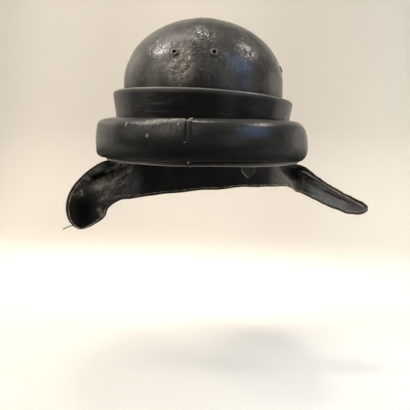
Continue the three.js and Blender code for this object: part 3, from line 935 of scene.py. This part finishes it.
def sew(name, places):
    """One piece of many stitches, each laid from one place to another with its outward side given."""
    pattern = thread_stitch()
    shape = bmesh.new()
    for start, stop, out, thick in places:
        known = len(shape.verts)
        shape.from_mesh(pattern.data)
        along = stop - start
        side = out.cross(along).normalized()
        lift = along.cross(side).normalized()
        turn = Matrix((along, side * thick, lift * thick)).transposed().to_4x4()
        place = Matrix.Translation((start + stop) / 2) @ turn
        bmesh.ops.transform(shape, matrix=place, verts=list(shape.verts)[known:])
    piece = bpy.data.objects.new(name, bpy.data.meshes.new(name))
    shape.to_mesh(piece.data)
    shape.free()
    bpy.context.collection.objects.link(piece)
    piece.data.polygons.foreach_set("use_smooth", [True] * len(piece.data.polygons))
    bpy.data.objects.remove(pattern)
    return piece


def waxed_thread(name, dark, light, odd_places, odd_colour):
    """Thread of two colours in soft patches, and of an odd colour round listed places and radii."""
    finish, shader, spot = new_finish(name)
    colour = spot.clouds(0.006, 4).step(0.35, 0.7).tint(dark, light)
    for place, radius in odd_places:
        colour = spot.near(place, radius).step(0, 0.3).tint(colour, odd_colour)
    coat(shader, colour, 0.7, 0.0001 * spot.clouds(0.0004, 1))
    return finish


def on_ring(x, z):
    """The place and outward side of the ring's front at a width and height."""
    _, spot, out, _ = ring.ray_cast(Vector((x, -0.3, z)), Vector((0, 1, 0)))
    return spot, out


def across_ring(near_x, near_z, far_x, far_z, lift, thick):
    """A stitch laid on the ring's front from one width and height to another."""
    start, out = on_ring(near_x, near_z)
    stop, _ = on_ring(far_x, far_z)
    return start + out * lift, stop + out * lift, out, thick


laces = []
for turn in range(LACE_COUNT):
    for near_x, near_drop, far_x, far_drop in LACE_TURN:
        near_z, far_z = (LACE_TOP - (turn + drop) * LACE_PITCH for drop in (near_drop, far_drop))
        laces.append(across_ring(SEAM_AT + near_x, near_z, SEAM_AT + far_x, far_z, LACE_LIFT, THREAD_THICK))
pale_ends = []
for near_x, far_x, near_z, far_z, thick, pale in LACE_ENDS:
    laces.append(across_ring(near_x, near_z, far_x, far_z, LACE_END_LIFT, thick))
    pale_ends.append((on_ring(near_x, near_z)[0], pale))
lacing = sew("seam_lacing", laces)
black_thread = waxed_thread(
    "black_thread",
    (0.006, 0.006, 0.005, 1),
    (0.02, 0.019, 0.017, 1),
    pale_ends,
    (0.62, 0.59, 0.53, 1),
)
lacing.data.materials.append(black_thread)
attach(lacing, "root")

# The rim binding is a strip of softer leather folded round the dome's foot, inside and out, and sewn through.
# It shows under the ring as a narrow pale strip, rubbed and painted with a highlight along its lowest fold.
BINDING_FOOT = -0.0026
BINDING_WALL = 0.0016
BINDING_OUTSIDE = 0.009
BINDING_INSIDE = 0.012
BINDING_CLEAR = 0.00035


def binding_rows():
    """The strip's section: down its inner face, under the rim, up its outer face and back along the dome."""
    inside = half_width - DOME_WALL - BINDING_CLEAR
    outside = half_width + BINDING_CLEAR
    inner, outer = inside - BINDING_WALL, outside + BINDING_WALL
    foot, floor = BINDING_FOOT, BINDING_FOOT + BINDING_WALL
    pull = BINDING_WALL / 4
    rows = straight_rows((inner, BINDING_INSIDE), (inner, floor), 5)
    rows += curve_rows((inner, floor), (inner, foot + pull), (inner + pull, foot), (inside, foot), 4)
    rows += straight_rows((inside, foot), (outside, foot), 3)
    rows += curve_rows((outside, foot), (outer - pull, foot), (outer, foot + pull), (outer, floor), 4)
    rows += straight_rows((outer, floor), (outer, BINDING_OUTSIDE), 4)
    rows += [(outer, BINDING_OUTSIDE), (outside, BINDING_OUTSIDE)]
    rows += [(outside, floor), (inside, floor), (inside, BINDING_INSIDE)]
    return rows


def binding_leather():
    finish, shader, spot = new_finish("binding_leather")
    # The lowest fold is painted paler, partly for wear and partly as a painted highlight.
    fold_wear_and_sheen = 1 - spot.axis("Z").step(BINDING_FOOT, BINDING_FOOT + 0.0035)
    height = 0.00012 * spot.stretched(1, 1, 3).clouds(0.004, 4)
    grey = spot.clouds(0.012, 4).tint((0.016, 0.015, 0.013, 1), (0.045, 0.042, 0.036, 1))
    colour = (fold_wear_and_sheen * spot.clouds(0.005)).tint(grey, (0.26, 0.24, 0.21, 1))
    coat(shader, colour, 0.42 + 0.15 * spot.clouds(0.01), height)
    return finish


binding = turned("rim_binding_leather", binding_rows(), 200)
lay_on_oval(binding)
finish_piece(binding, ["rim_binding"], binding_leather())

# The neck guard is one long piece of thin soft leather, sewn into the slot under the ring round the back.
# Its two ends are loose and turn outward, creased by years of folding, with a stitched hem along every edge.
GUARD_MIDDLE = 0.0959
GUARD_MARGIN = 0.008
GUARD_LEAST_MARGIN = 0.0015
GUARD_KNEE = -0.003
GUARD_FADE = 14
GUARD_SEWN_STEP = 6
GUARD_WALL = 0.0030
GUARD_KNEE_SHARE = 0.2
LOOSE_KNEE_SHARE = 0.12
CRUMPLE_COARSE = 0.0009
CRUMPLE_FINE = 0.0006
GUARD_WAVE = 0.0012
HEM_WIDTH = 0.0036
HEM_ROUNDING = 0.001
HEM_STEP = (0.0030, 0.0044)
HEM_STITCH_WIDTH = 0.0007
FOLD_SHADE_STRENGTH = 1.5
LIT_RIDGE_STRENGTH = 1.4
# The way that the wrinkles of the loose ends run, and the way across them.
UPHILL = (0.76, 0.54, 0.38)
DOWNHILL = (0.33, 0.18, -0.92)
# Where the guard is sewn on: azimuth from the front, lean from upright in degrees, and width below the rim.
GUARD_SEWN = (
    (132, 38, 0.042),
    (150, 32, 0.043),
    (180, 18, 0.045),
    (210, 8, 0.048),
    (234, 3, 0.049),
)
# The loose ends, a row for each section across the leather: the place of its outer and of its inner edge.
LEFT_END = (
    ((-0.0880, 0.0470, -0.0030), (-0.0885, 0.0470, -0.0525)),
    ((-0.0970, 0.0310, -0.0030), (-0.0960, 0.0320, -0.0530)),
    ((-0.1085, 0.0185, -0.0030), (-0.1040, 0.0205, -0.0530)),
    ((-0.1220, 0.0080, -0.0040), (-0.1110, 0.0130, -0.0565)),
    ((-0.1367, 0.0000, -0.0133), (-0.1165, 0.0080, -0.0615)),
    ((-0.1500, -0.0055, -0.0260), (-0.1185, 0.0050, -0.0660)),
    ((-0.1601, -0.0100, -0.0412), (-0.1195, 0.0025, -0.0715)),
    ((-0.1645, -0.0125, -0.0590), (-0.1230, -0.0010, -0.0760)),
    ((-0.1625, -0.0125, -0.0740), (-0.1285, -0.0035, -0.0800)),
    ((-0.1570, -0.0110, -0.0830), (-0.1360, -0.0060, -0.0845)),
    ((-0.1500, -0.0095, -0.0875), (-0.1450, -0.0085, -0.0878)),
)
RIGHT_END = (
    ((0.0835, 0.0560, -0.0030), (0.1055, 0.0710, -0.0335)),
    ((0.0930, 0.0445, -0.0030), (0.1120, 0.0510, -0.0345)),
    ((0.1060, 0.0380, -0.0030), (0.1170, 0.0320, -0.0370)),
    ((0.1230, 0.0360, -0.0058), (0.1260, 0.0130, -0.0405)),
    ((0.1445, 0.0350, -0.0213), (0.1430, 0.0010, -0.0470)),
    ((0.1680, 0.0330, -0.0351), (0.1610, -0.0035, -0.0540)),
    ((0.1870, 0.0290, -0.0441), (0.1780, 0.0015, -0.0594)),
    ((0.1970, 0.0240, -0.0488), (0.1920, 0.0075, -0.0597)),
    ((0.2005, 0.0185, -0.0520), (0.1995, 0.0130, -0.0565)),
)
# Creases: where each line starts and stops, how far it rises on the inner face and how wide it is.
CREASES = (
    ((-0.103, 0.022, -0.012), (-0.130, 0.006, -0.026), -0.0024, 0.005),
    ((-0.124, 0.008, -0.036), (-0.142, -0.004, -0.068), 0.0030, 0.012),
    ((-0.150, -0.007, -0.034), (-0.156, -0.010, -0.064), -0.0020, 0.006),
    ((0.098, 0.044, -0.014), (0.113, 0.030, -0.034), 0.0026, 0.005),
    ((0.108, 0.036, -0.008), (0.126, 0.026, -0.024), -0.0022, 0.005),
    ((0.134, 0.022, -0.026), (0.176, 0.016, -0.049), 0.0018, 0.009),
    ((-0.128, 0.004, -0.043), (-0.160, -0.010, -0.047), 0.0030, 0.010),
)
# Patches on the loose ends painted paler, partly dust and rubbing and partly painted sheen: place, radius and
# strength.
DUST_AND_SHEEN = (
    ((-0.119, 0.003, -0.030), 0.027, 0.85),
    ((-0.1066, 0.0175, -0.0291), 0.022, 0.6),
    ((-0.128, 0.003, -0.0125), 0.015, 0.6),
    ((-0.148, -0.0086, -0.0444), 0.010, 0.35),
    ((-0.1153, 0.0074, -0.0537), 0.011, 0.6),
    ((-0.1215, 0.0002, -0.0693), 0.008, 0.8),
    ((-0.1408, -0.0036, -0.0250), 0.009, 0.5),
    ((0.1230, 0.0250, -0.0210), 0.012, 0.4),
)
# Painted shade in the folds and the hollow on the loose ends: where each line starts and stops, its half
# width and its strength.
SHADED_FOLDS = (
    ((-0.1435, -0.0085, -0.0600), (-0.1440, -0.0090, -0.0750), 0.0190, 0.68),
    ((-0.1345, -0.0006, -0.0252), (-0.1135, 0.0143, -0.0148), 0.0036, 1.2),
    ((-0.1135, 0.0143, -0.0148), (-0.1060, 0.0215, -0.0095), 0.0026, 0.9),
    ((-0.1081, 0.0158, -0.0286), (-0.0983, 0.0272, -0.0208), 0.0016, 0.8),
    ((-0.1037, 0.0210, -0.0232), (-0.0945, 0.0330, -0.0110), 0.0018, 0.8),
    ((-0.0945, 0.0305, -0.0412), (-0.0940, 0.0305, -0.0405), 0.0022, 0.7),
    ((0.1180, 0.0290, -0.0120), (0.1230, 0.0230, -0.0290), 0.0018, 0.4),
    ((0.1260, 0.0290, -0.0150), (0.1340, 0.0250, -0.0230), 0.0020, 0.9),
    ((0.1130, 0.0330, -0.0160), (0.1190, 0.0240, -0.0330), 0.0018, 0.25),
    ((0.1380, 0.0260, -0.0230), (0.1560, 0.0240, -0.0330), 0.0016, 0.7),
    ((0.1560, 0.0240, -0.0330), (0.1780, 0.0210, -0.0440), 0.0013, 0.7),
    ((-0.1453, -0.0053, -0.0287), (-0.1350, -0.0022, -0.0311), 0.0014, 0.8),
    ((-0.1540, -0.0092, -0.0360), (-0.1436, -0.0068, -0.0396), 0.0016, 0.8),
    ((-0.1132, 0.0091, -0.0425), (-0.0995, 0.0250, -0.0358), 0.0016, 0.5),
    ((0.1366, 0.0193, -0.0258), (0.1473, 0.0159, -0.0332), 0.0022, 0.9),
    ((0.1473, 0.0159, -0.0332), (0.1579, 0.0137, -0.0384), 0.0026, 0.9),
    ((0.1579, 0.0137, -0.0384), (0.1785, 0.0141, -0.0471), 0.0024, 0.85),
)
# Painted highlights along ridges on the loose ends, in the same order of numbers.
LIT_RIDGES = (
    ((-0.1137, 0.0096, -0.0307), (-0.0938, 0.0334, -0.0124), 0.0022, 0.8),
    ((-0.1198, 0.0086, -0.0174), (-0.1077, 0.0184, -0.0095), 0.0022, 0.6),
    ((-0.1298, -0.0030, -0.0370), (-0.1125, 0.0111, -0.0301), 0.0030, 0.9),
    ((-0.1552, -0.0113, -0.0456), (-0.1463, -0.0075, -0.0408), 0.0014, 1.0),
    ((-0.1530, -0.0105, -0.0490), (-0.1450, -0.0075, -0.0445), 0.0010, 0.8),
    ((-0.1385, -0.0015, -0.0185), (-0.1225, 0.0075, -0.0085), 0.0026, 0.4),
    ((-0.1490, -0.0070, -0.0330), (-0.1435, -0.0050, -0.0310), 0.0010, 0.9),
    ((-0.1263, -0.0024, -0.0530), (-0.1180, 0.0035, -0.0471), 0.0018, 0.6),
    ((-0.1430, -0.0045, -0.0226), (-0.1363, -0.0021, -0.0256), 0.0015, 0.8),
    ((-0.1113, 0.0114, -0.0495), (-0.0956, 0.0307, -0.0484), 0.0018, 0.5),
    ((-0.1262, -0.0024, -0.0640), (-0.1215, 0.0002, -0.0720), 0.0030, 0.9),
    ((0.1190, 0.0313, -0.0148), (0.1235, 0.0267, -0.0198), 0.0016, 0.8),
    ((0.1235, 0.0267, -0.0198), (0.1224, 0.0205, -0.0291), 0.0016, 0.8),
    ((0.1479, 0.0217, -0.0285), (0.1812, 0.0228, -0.0438), 0.0012, 0.5),
)
# Painted shade under the ring and at the right tip, and a small hole in the left end painted dark:
# place, radius and strength.
SHADED = (
    ((-0.1170, 0.0110, -0.0045), 0.018, 0.85),
    ((0.186, 0.012, -0.053), 0.024, 0.4),
    ((-0.1154, 0.0080, -0.0284), 0.0024, 1),
)
# Where the hem and its thread are darkened, beside the ring as painted shade and lower on the left end: place
# and radius.
DARKENED_HEMS = (((-0.1280, 0.0040, -0.0100), 0.028), ((-0.1030, 0.0200, -0.0530), 0.030))
# How far across the leather each column lies: close together in both hems and even between them.
HEM_SHARES = (0, 0.010, 0.022, 0.036, 0.052, 0.070, 0.088, 0.106, 0.126)
BETWEEN_HEMS = 34
OTHER_HEM = tuple(1 - share for share in reversed(HEM_SHARES))
between = (OTHER_HEM[0] - HEM_SHARES[-1]) / BETWEEN_HEMS
GUARD_SHARES = (
    *HEM_SHARES,
    *(HEM_SHARES[-1] + between * i for i in range(1, BETWEEN_HEMS)),
    *OTHER_HEM,
)
GUARD_STEPS_A_ROW = 11


def sewn_section(azimuth):
    """Upper edge in the slot, knee under the ring and lower edge of the sewn stretch at an azimuth."""
    after = next(i for i in range(1, len(GUARD_SEWN)) if GUARD_SEWN[i][0] >= azimuth)
    (first, lean_first, width_first), (last, lean_last, width_last) = GUARD_SEWN[after - 1], GUARD_SEWN[after]
    share = (azimuth - first) / (last - first)
    share = share * share * (3 - 2 * share)
    lean = math.radians(lean_first + (lean_last - lean_first) * share)
    width = width_first + (width_last - width_first) * share
    to_end = min(azimuth - GUARD_SEWN[0][0], GUARD_SEWN[-1][0] - azimuth)
    least = GUARD_KNEE + GUARD_LEAST_MARGIN
    margin = least + (GUARD_MARGIN - least) * min(1, to_end / GUARD_FADE)
    knee = on_oval(azimuth, GUARD_MIDDLE, GUARD_KNEE)
    out = (on_oval(azimuth, GUARD_MIDDLE + 0.001, GUARD_KNEE) - knee).normalized()
    lower = knee + out * (width * math.sin(lean)) - up * (width * math.cos(lean))
    return on_oval(azimuth, GUARD_MIDDLE, margin), knee, lower


def loose_section(outer, inner):
    return Vector(outer), Vector(outer).lerp(Vector(inner), LOOSE_KNEE_SHARE), Vector(inner)


def smooth_between(points, along):
    """A point on a smooth curve through a list of points, at a place counted in points."""
    i = min(int(along), len(points) - 2)
    share = along - i
    start, stop = points[i], points[i + 1]
    before = points[i - 1] if i > 0 else start * 2 - stop
    after = points[i + 2] if i + 2 < len(points) else stop * 2 - start
    pull, push = (stop - before) / 2, (after - start) / 2
    square, cube = share**2, share**3
    return (
        start * (2 * cube - 3 * square + 1)
        + pull * (cube - 2 * square + share)
        + stop * (3 * square - 2 * cube)
        + push * (cube - square)
    )


def guard_rows():
    """Rows of points across the leather, from the right end's tip round the back to the left end's tip."""
    first, last = GUARD_SEWN[0][0], GUARD_SEWN[-1][0]
    sections = [loose_section(*row) for row in reversed(RIGHT_END)]
    sections += [sewn_section(azimuth) for azimuth in range(first, last + 1, GUARD_SEWN_STEP)]
    sections += [loose_section(*row) for row in LEFT_END]
    uppers, knees, lowers = zip(*sections)
    rows = []
    for i in range((len(sections) - 1) * GUARD_STEPS_A_ROW + 1):
        along = i / GUARD_STEPS_A_ROW
        upper, knee, lower = (smooth_between(line, along) for line in (uppers, knees, lowers))
        row = []
        for share in GUARD_SHARES:
            if share < GUARD_KNEE_SHARE:
                row.append(upper.lerp(knee, share / GUARD_KNEE_SHARE))
            else:
                row.append(knee.lerp(lower, (share - GUARD_KNEE_SHARE) / (1 - GUARD_KNEE_SHARE)))
        rows.append(row)
    return rows


def crease_rise(spot):
    """How far the creases and the crumpling of the loose ends lift a place on the leather's inner face."""
    rise = 0
    for start, stop, height, width in CREASES:
        rise += height * swell(0, width, away_from_line(spot, start, stop))
    loose = ramp(0.084, 0.114, abs(spot.x))
    rise += CRUMPLE_COARSE * loose * noise.noise(spot * 95)
    rise += CRUMPLE_FINE * loose * (abs(noise.noise(spot * 190 + Vector((5, 1, 2)))) - 0.3)
    rise += GUARD_WAVE * (1 - loose) * noise.noise(spot * 28)
    return rise


rows = guard_rows()
stations, columns = len(rows), len(GUARD_SHARES)
edge_away = {}
for i, row in enumerate(rows):
    length = sum((b - a).length for a, b in zip(row, row[1:]))
    tip = min((row[0] - rows[0][0]).length, (row[0] - rows[-1][0]).length)
    gone = 0
    for j, spot in enumerate(row):
        if j:
            gone += (spot - row[j - 1]).length
        edge_away[i, j] = min(gone, length - gone, tip + 0.0004)


def guard_normal(i, j):
    """The inner side of the leather at a station and column."""
    along = rows[min(i + 1, stations - 1)][j] - rows[max(i - 1, 0)][j]
    down = rows[i][min(j + 1, columns - 1)] - rows[i][max(j - 1, 0)]
    return along.cross(down).normalized()


def hem_thickness(away):
    """Share of the full thickness: rounded at the edge, full in the hem, drawn in where it is sewn."""
    if away < HEM_ROUNDING:
        return 0.35 + 0.65 * math.sqrt(max(0, 1 - (1 - away / HEM_ROUNDING) ** 2))
    return 1 - 0.28 * ramp(*HEM_STEP, away) - 0.16 * swell(HEM_WIDTH, HEM_STITCH_WIDTH, away)


guard = begin(
    "neck_guard_leather",
    bpy.ops.mesh.primitive_grid_add,
    x_subdivisions=columns - 1,
    y_subdivisions=stations - 1,
    size=1,
)
end()
normals = {(i, j): guard_normal(i, j) for i in range(stations) for j in range(columns)}
places = [
    (round((corner.co.y + 0.5) * (stations - 1)), round((corner.co.x + 0.5) * (columns - 1)))
    for corner in guard.data.vertices
]
hem = guard.vertex_groups.new(name="hem")
for corner, (i, j) in zip(guard.data.vertices, places):
    rows[i][j] = rows[i][j] + normals[i, j] * crease_rise(rows[i][j])
    corner.co = rows[i][j]
    hem.add([corner.index], hem_thickness(edge_away[i, j]), "REPLACE")
lengths = [0]
for row, onward in zip(rows, rows[1:]):
    lengths.append(lengths[-1] + (onward[columns // 2] - row[columns // 2]).length)
marks = {
    "edge_away": [edge_away[place] for place in places],
    "along": [lengths[i] for i, j in places],
    "fold_shade": [min(1, FOLD_SHADE_STRENGTH * nearness(rows[i][j], SHADED_FOLDS)) for i, j in places],
    "lit_ridge": [min(1, LIT_RIDGE_STRENGTH * nearness(rows[i][j], LIT_RIDGES)) for i, j in places],
    "across": [GUARD_SHARES[j] for i, j in places],
}
for name, amounts in marks.items():
    guard.data.attributes.new(name, "FLOAT", "POINT").data.foreach_set("value", amounts)
apply_modifier(guard, "SOLIDIFY", thickness=GUARD_WALL, offset=0, vertex_group="hem")


def streaks(along, across, detail):
    """Noise over two numbers, so that its lumps are long where one of them changes slowly."""
    return along.add("ShaderNodeCombineXYZ", {}, {0: along, 1: across, 2: 0.0}).clouds(1.0, detail)


def creased_leather():
    finish, shader, spot = new_finish("creased_leather")
    x = spot.axis("X")
    away = spot.painted("edge_away")
    across = spot.painted("across")
    right = x.step(0.08, 0.12)
    loose = right.most(1 - x.step(-0.115, -0.085))
    upper = 1 - across.step(0.40, 0.60)
    grain = streaks(spot.painted("along") * 40, across * 14, 5)
    uphill, downhill = (spot.vectors("DOT_PRODUCT", way, "Value") for way in (UPHILL, DOWNHILL))
    strokes = streaks(uphill * 90, downhill * 420, 4).step(0.42, 0.60)
    crumpled = spot.swirled(0.010, 0.005)
    lumps = crumpled.clouds(0.0045, 5)
    lines = crumpled.veins(0.0110, 0.06).most(0.8 * spot.swirled(0.006, 0.003).veins(0.0060, 0.05))
    height = loose * (0.0007 * lumps - 0.00014 * lines + 0.0003 * strokes) + 0.0002 * spot.clouds(0.0028, 4)
    # Ridges are painted paler along their crests: painted highlight.
    lit_ridge = spot.painted("lit_ridge") * (0.5 + 0.5 * spot.clouds(0.004, 4).step(0.42, 0.57))
    lower = (across + 0.16 * grain).step(0.60, 0.76)
    # These patches are painted paler, partly dust and partly painted sheen; the right end's lower half is a
    # painted reflection.
    dust_and_sheen = 0.3 * spot.clouds(0.018, 5).step(0.40, 0.72)
    for place, radius, amount in DUST_AND_SHEEN:
        dust_and_sheen = dust_and_sheen.most(spot.near(place, radius) * amount)
    dust_and_sheen = dust_and_sheen * (0.40 + 0.60 * lumps.step(0.43, 0.57)) * (1 - 0.7 * loose * lines)
    dust_and_sheen = dust_and_sheen * (0.55 + 0.70 * strokes)
    dust_and_sheen = dust_and_sheen.most(right * lower * (0.26 + 0.36 * grain.step(0.36, 0.62)))
    black = dust_and_sheen.tint((0.007, 0.007, 0.0064, 1), (0.230, 0.217, 0.182, 1))
    black = (0.8 * lit_ridge).tint(black, (0.330, 0.310, 0.265, 1))
    browned = right * (1 - lower) * x.step(0.130, 0.150) * (0.4 + 0.4 * grain)
    black = browned.tint(black, (0.100, 0.081, 0.062, 1))
    darkened_hem = spot.near(*DARKENED_HEMS[0]).most(spot.near(*DARKENED_HEMS[1])).step(0, 0.5)
    pale = away.within(0.0016, 0.0021, 0.0030, 0.0035) * spot.clouds(0.006, 4).step(0.30, 0.65) * (1 - darkened_hem)
    piped = (0.8 * pale).tint(black, (0.230, 0.200, 0.160, 1))
    tan = x.step(0.115, 0.130) * upper * away.within(0.0066, 0.0072, 0.0092, 0.0100)
    piped = (0.8 * tan).tint(piped, (0.330, 0.255, 0.180, 1))
    colour = (0.8 * (1 - away.step(0.0004, 0.0012))).tint(piped, (0.030, 0.022, 0.016, 1))
    coat(shader, colour, 0.24 + 0.20 * spot.clouds(0.009, 4) + 0.2 * dust_and_sheen, height, gloss=0.45)
    # The right end's upper half, the edges of the leather and its inner face at the back are painted in
    # shade.
    dark = right * (1 - lower) * (0.55 - 0.08 * x.step(0.128, 0.145)) * (1 - 0.9 * tan)
    shade = spot.painted("fold_shade").most(dark) * away.step(0.0010, 0.0050) * (1 - 0.7 * lit_ridge)
    shade = shade.most(0.78 * right * upper * x.step(0.112, 0.125) * (1 - away.step(0.0050, 0.0062)))
    shade = shade.most(0.75 * (1 - away.step(0.0013, 0.0020)) * (1 - right * lower))
    behind = spot.axis("Y").step(0.026, 0.060) * (1 - 0.50 * x.step(0.080, 0.094))
    shade = shade.most(0.88 * behind * (1 - lit_ridge))
    for place, radius, amount in SHADED:
        shade = shade.most(amount * spot.near(place, radius))
    shade_over(finish, shader, shade, (0.004, 0.004, 0.005, 1))
    return finish


finish_piece(guard, ["neck_guard"], creased_leather())

# The guard's hem is sewn down with tan thread, one row of stitches along every free edge, seen on both faces.
# A short end of the thread has come loose at the tip of the left end.
STITCH_LONG = 0.0028
STITCH_PITCH = 0.0031
STITCH_THICK = 0.0013
STITCH_LIFT = 0.34
TIP_STATIONS = 2
# The right end's upper row: how far in from the edge it runs, and how many stations before the ring
# it stops.
RIGHT_ROW_IN = 0.0082
RIGHT_ROW_SHORT = 30
LOOSE_THICK = 0.0014
LOOSE_OVERLAP = 0.4
LOOSE_THREAD = (
    (-0.1560, -0.0120, -0.0828),
    (-0.1585, -0.0128, -0.0835),
    (-0.1615, -0.0140, -0.0843),
    (-0.1640, -0.0145, -0.0858),
    (-0.1668, -0.0150, -0.0872),
)


def hem_place(i, from_lower, width=HEM_WIDTH):
    """The place on the stitch line at a station, a hem's width in from one edge, with its inner side."""
    order = range(columns - 1, -1, -1) if from_lower else range(columns)
    wanted = min(width, 0.5 * sum((b - a).length for a, b in zip(rows[i], rows[i][1:])))
    gone = 0
    for j, onward in zip(order, list(order)[1:]):
        step = (rows[i][onward] - rows[i][j]).length
        if gone + step >= wanted:
            return rows[i][j].lerp(rows[i][onward], (wanted - gone) / step), normals[i, j]
        gone += step
    return rows[i][j], normals[i, j]


def stitch_line(line):
    """Stitches at an even pitch along a line of places, on both faces of the leather."""
    stitches = []
    gone = 0
    due = STITCH_PITCH
    for (spot, out), (onward, _) in zip(line, line[1:]):
        step = (onward - spot).length
        while gone + step >= due:
            middle = spot.lerp(onward, (due - gone) / step)
            half = (onward - spot).normalized() * (STITCH_LONG / 2)
            for face in (1, -1):
                lift = out * (face * STITCH_LIFT * GUARD_WALL)
                stitches.append((middle - half + lift, middle + half + lift, out * face, STITCH_THICK))
            due += STITCH_PITCH
        gone += step
    return stitches


right_stop = (len(RIGHT_END) - 1) * GUARD_STEPS_A_ROW
left_start = stations - 1 - (len(LEFT_END) - 1) * GUARD_STEPS_A_ROW
right_row_stop = right_stop - RIGHT_ROW_SHORT
lower_line = [hem_place(i, True) for i in range(TIP_STATIONS, stations - TIP_STATIONS)]
right_line = [hem_place(i, False, RIGHT_ROW_IN) for i in range(TIP_STATIONS, right_row_stop)]
left_line = [hem_place(i, False) for i in range(left_start, stations - TIP_STATIONS)]
stitches = [stitch for line in (lower_line, right_line, left_line) for stitch in stitch_line(line)]
for start, stop in zip(LOOSE_THREAD, LOOSE_THREAD[1:]):
    overlap = LOOSE_OVERLAP * (Vector(stop) - Vector(start))
    stitches.append((Vector(start) - overlap, Vector(stop) + overlap, up, LOOSE_THICK))
hem_stitches = sew("guard_stitches", stitches)
tan_thread = waxed_thread(
    "tan_thread",
    (0.22, 0.17, 0.12, 1),
    (0.60, 0.53, 0.42, 1),
    [(LOOSE_THREAD[2], 0.008), *DARKENED_HEMS],
    (0.05, 0.043, 0.034, 1),
)
hem_stitches.data.materials.append(tan_thread)
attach(hem_stitches, "root")

# The liner tongue is a soft leather tongue of the lining, cut to a point and hung inside the binding.
# It shows below the rim at the front, with its raw cut edge paler than its face.
TONGUE_AZIMUTH = 41
TONGUE_HALF_WIDTH = 0.0095
TONGUE_TOP = 0.026
TONGUE_TIP = -0.0155
TONGUE_WALL = 0.0016
TONGUE_CLEAR = 0.0002
TONGUE_RIPPLE = 0.0002
TONGUE_TAPER = 1.4
TONGUE_POINT = 0.0003
TONGUE_CROWDING = 1.25
TONGUE_COLUMNS = 12
TONGUE_ROWS = 30

tongue = begin(
    "liner_tongue_leather",
    bpy.ops.mesh.primitive_grid_add,
    x_subdivisions=TONGUE_COLUMNS,
    y_subdivisions=TONGUE_ROWS,
    size=1,
)
end()
wall = half_width - DOME_WALL - BINDING_CLEAR - BINDING_WALL
spot = on_oval(TONGUE_AZIMUTH, wall, 0)
aside = (on_oval(TONGUE_AZIMUTH + 0.5, wall, 0) - spot).normalized()
inward = Vector((-aside.y, aside.x, 0))
clear = TONGUE_HALF_WIDTH**2 / (2 * wall) + BINDING_CLEAR + TONGUE_CLEAR + TONGUE_WALL / 2
cut_edge = tongue.data.attributes.new("cut_edge", "FLOAT", "POINT")
for corner in tongue.data.vertices:
    side, share = 2 * corner.co.x, corner.co.y + 0.5
    height = TONGUE_TIP + (TONGUE_TOP - TONGUE_TIP) * share**TONGUE_CROWDING
    half = min(TONGUE_HALF_WIDTH, TONGUE_TAPER * (height - TONGUE_TIP) + TONGUE_POINT)
    cut_edge.data[corner.index].value = (1 - abs(side)) * half
    ripple = TONGUE_RIPPLE * noise.noise(Vector((side, 9 * share, 2)))
    corner.co = spot + aside * (side * half) + inward * (clear + ripple) + up * height
apply_modifier(tongue, "SOLIDIFY", thickness=TONGUE_WALL, offset=0)


def tongue_leather():
    finish, shader, spot = new_finish("tongue_leather")
    raw = 1 - spot.painted("cut_edge").step(0.0002, 0.0011)
    nap = spot.clouds(0.0009, 4)
    stained = spot.clouds(0.006, 4).step(0.35, 0.7)
    face = stained.tint((0.012, 0.012, 0.008, 1), (0.030, 0.029, 0.020, 1))
    colour = (raw * (0.5 + 0.5 * nap)).tint(face, (0.17, 0.163, 0.135, 1))
    height = 0.0001 * nap + 0.00012 * spot.clouds(0.004)
    coat(shader, colour, 0.62 + 0.2 * nap, height)
    return finish


finish_piece(tongue, ["liner_tongue"], tongue_leather())
